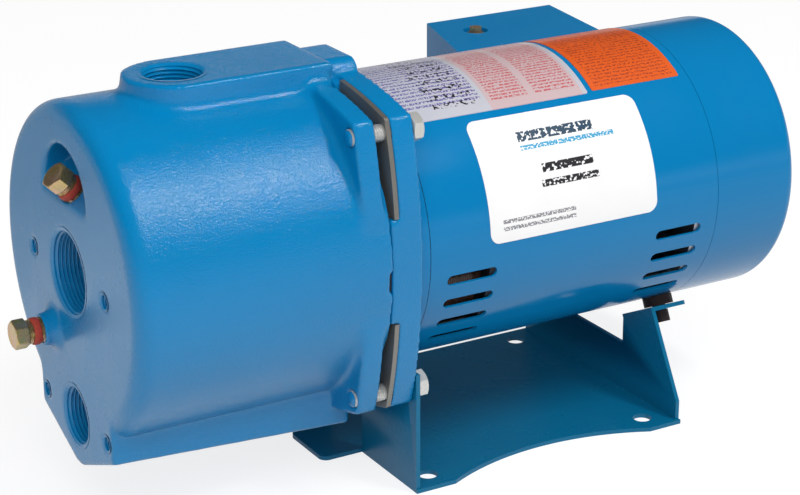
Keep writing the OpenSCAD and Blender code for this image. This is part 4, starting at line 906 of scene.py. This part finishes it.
def floor_finish():
    """Pale floor that the camera sees near white, with the object's shadow.

    Glossy rays see a darker floor, brightest within reach of the object along Y, because
    the photographed enamel reflects little; metal shows that darker floor too.
    """
    material = bpy.data.materials.new("studio_white")
    material.use_nodes = True
    tree = material.node_tree
    shader = tree.nodes["Principled BSDF"]
    path = put(tree, "LightPath")
    shade = remap(tree, path.outputs["Is Camera Ray"], 0, 1, 0.66, 0.30)
    colour = put(tree, "CombineXYZ", {0: shade, 1: shade, 2: shade}).outputs[0]
    tree.links.new(colour, shader.inputs["Base Color"])
    shader.inputs["Roughness"].default_value = 1.0
    shader.inputs["Specular IOR Level"].default_value = 0.0
    shader.inputs["Emission Color"].default_value = (1, 1, 1, 1)
    parts = put(tree, "SeparateXYZ", {0: put(tree, "NewGeometry").outputs["Position"]})
    reach = calc(tree, "MINIMUM", remap(tree, parts.outputs[1], -0.40, -0.16, FAR_FLOOR, GLOW),
                 remap(tree, parts.outputs[1], 0.30, 0.50, GLOW, FAR_FLOOR))
    glow = calc(tree, "ADD", calc(tree, "MULTIPLY", path.outputs["Is Camera Ray"], 0.78),
                calc(tree, "MULTIPLY", path.outputs["Is Glossy Ray"], reach))
    tree.links.new(glow, shader.inputs["Emission Strength"])
    floor.data.materials.append(material)


floor_finish()

world = bpy.data.worlds.new("studio")
bpy.context.scene.world = world
world.use_nodes = True
wt = world.node_tree
background = wt.nodes["Background"]
path = put(wt, "LightPath")
height = put(wt, "SeparateXYZ", {0: put(wt, "TexCoord").outputs["Generated"]}).outputs[2]
AMBIENT, HORIZON, OVERHEAD = 0.46, 0.85, 0.03
sky = remap(wt, height, 0.02, 0.16, HORIZON, OVERHEAD)
plain = remap(wt, path.outputs["Is Camera Ray"], 0, 1, AMBIENT, 1.0)
mirrored = calc(wt, "MAXIMUM", path.outputs["Is Glossy Ray"], path.outputs["Is Transmission Ray"])
strength = calc(wt, "ADD", calc(wt, "MULTIPLY", plain, calc(wt, "SUBTRACT", 1.0, mirrored)),
                calc(wt, "MULTIPLY", sky, mirrored))
wt.links.new(strength, background.inputs["Strength"])
background.inputs["Color"].default_value = (1, 1, 1, 1)


def soft_lamp(name, aim, direction, distance, size, power, mirrored=True):
    """Softbox aimed at a point from the given direction; size is (along X, across X)."""
    lamp = bpy.data.lights.new(name, "AREA")
    lamp.shape = "RECTANGLE"
    lamp.size, lamp.size_y = size
    lamp.energy = power
    obj = bpy.data.objects.new(name, lamp)
    bpy.context.scene.collection.objects.link(obj)
    obj.visible_glossy = mirrored
    way = Vector(direction).normalized()
    side = (Vector((1, 0, 0)) - way * way.x).normalized()
    obj.location = Vector(aim) + way * distance
    obj.rotation_euler = Matrix((side, way.cross(side), way)).transposed().to_euler()
    return obj


soft_lamp("key_softbox", (-0.19, -0.07, 0.196), (0.408, -0.50, 0.765), 1.6, (0.23, 0.62), 9.0)
soft_lamp("fill_softbox", (0, 0, SHAFT_Z), (-0.35, -0.7, 0.62), 2.0, (1.6, 1.6), 19, False)

bpy.context.scene.view_settings.view_transform = "Standard"
bpy.context.view_layer.update()
GRAPH = bpy.context.evaluated_depsgraph_get()


def showing(points, slack=1.2 * MM):
    """The points that the camera sees: nothing stands more than the slack before them."""
    seen = []
    for spot in points:
        way = Vector(spot) - Vector(CAM_AT)
        hit = bpy.context.scene.ray_cast(GRAPH, Vector(CAM_AT), way.normalized())
        if not hit[0] or (hit[1] - Vector(CAM_AT)).length > way.length - slack:
            seen.append(spot)
    return np.array(seen if seen else points)


def middle_of(points):
    """Middle of what shows of some points, in the image."""
    flat = image_of(showing(points))
    return (flat.min(0) + flat.max(0)) / 2


def ring_at(centre, axis, radius, count=72):
    """Points round a hole's edge."""
    theta = np.linspace(0, 2 * math.pi, count, endpoint=False)
    return about(np.full((1, count), radius), np.zeros((1, count)), theta, centre, axis)[0]


def head_of(name, axis, depth):
    """Corners of a screw within the depth of its outer end along the axis."""
    co = coordinates(bpy.data.objects[name].data)
    along = co @ (np.array(axis, float) / np.linalg.norm(axis))
    return co[along > along.max() - depth]


base = MOUNTS["base_holes"]
half_x, half_y = (base["dims"]["spacing_%s_mm" % a] / 2 * MM for a in "xy")
SHOWN = {
    "suction_port": ring_at(*PORTS["suction_port"]), "drive_port": ring_at(*PORTS["drive_port"]),
    "discharge_port": ring_at(*PORTS["discharge_port"]),
    "suction_screw_far": ring_at(*PORTS["suction_screw_far"]),
    "suction_screw_near": ring_at(*PORTS["suction_screw_near"]),
    "drive_screw_far": ring_at(*PORTS["drive_screw_far"]),
    "drive_screw_near": ring_at(*PORTS["drive_screw_near"]),
    "priming_plug_head": head_of("priming_plug_turned", JOINTS["priming_plug_turn"]["axis"],
                                 PLUG_HEAD),
    "drain_plug_head": head_of("drain_plug_turned", JOINTS["drain_plug_turn"]["axis"], PLUG_HEAD),
    "name_plate": coordinates(NODES["name_plate"].data),
    "box_screw": coordinates(NODES["terminal_box_screw"].data),
    "upper_near_bolt_head": head_of("flange_bolt_upper_near", (1, 0, 0), BOLT_HEAD),
}
for label, sign in (("base_hole_front", -1), ("base_hole_rear", 1)):
    centre = np.array(base["pos_m"]) + (sign * half_x, -half_y, 0)
    centre[2] = base["dims"]["sheet_mm"] * MM if "sheet_mm" in base["dims"] else 3 * MM
    SHOWN[label] = ring_at(centre, (0, 0, 1), base["dims"]["hole_r_mm"] * MM)
outline = np.concatenate([image_of(coordinates(o.data)) for o in bpy.data.objects
                          if o.type == "MESH" and o is not floor and not o.hide_render])
EDGES = {"left_edge_x": (0, outline[:, 0].min()), "right_edge_x": (0, outline[:, 0].max()),
         "top_edge_y": (1, outline[:, 1].min()), "bottom_edge_y": (1, outline[:, 1].max())}
for label, (x, y) in POINTS.items():
    if label in EDGES:
        side, value = EDGES[label]
    else:
        [float(v) for v in middle_of(SHOWN[label]) - (x, y)]
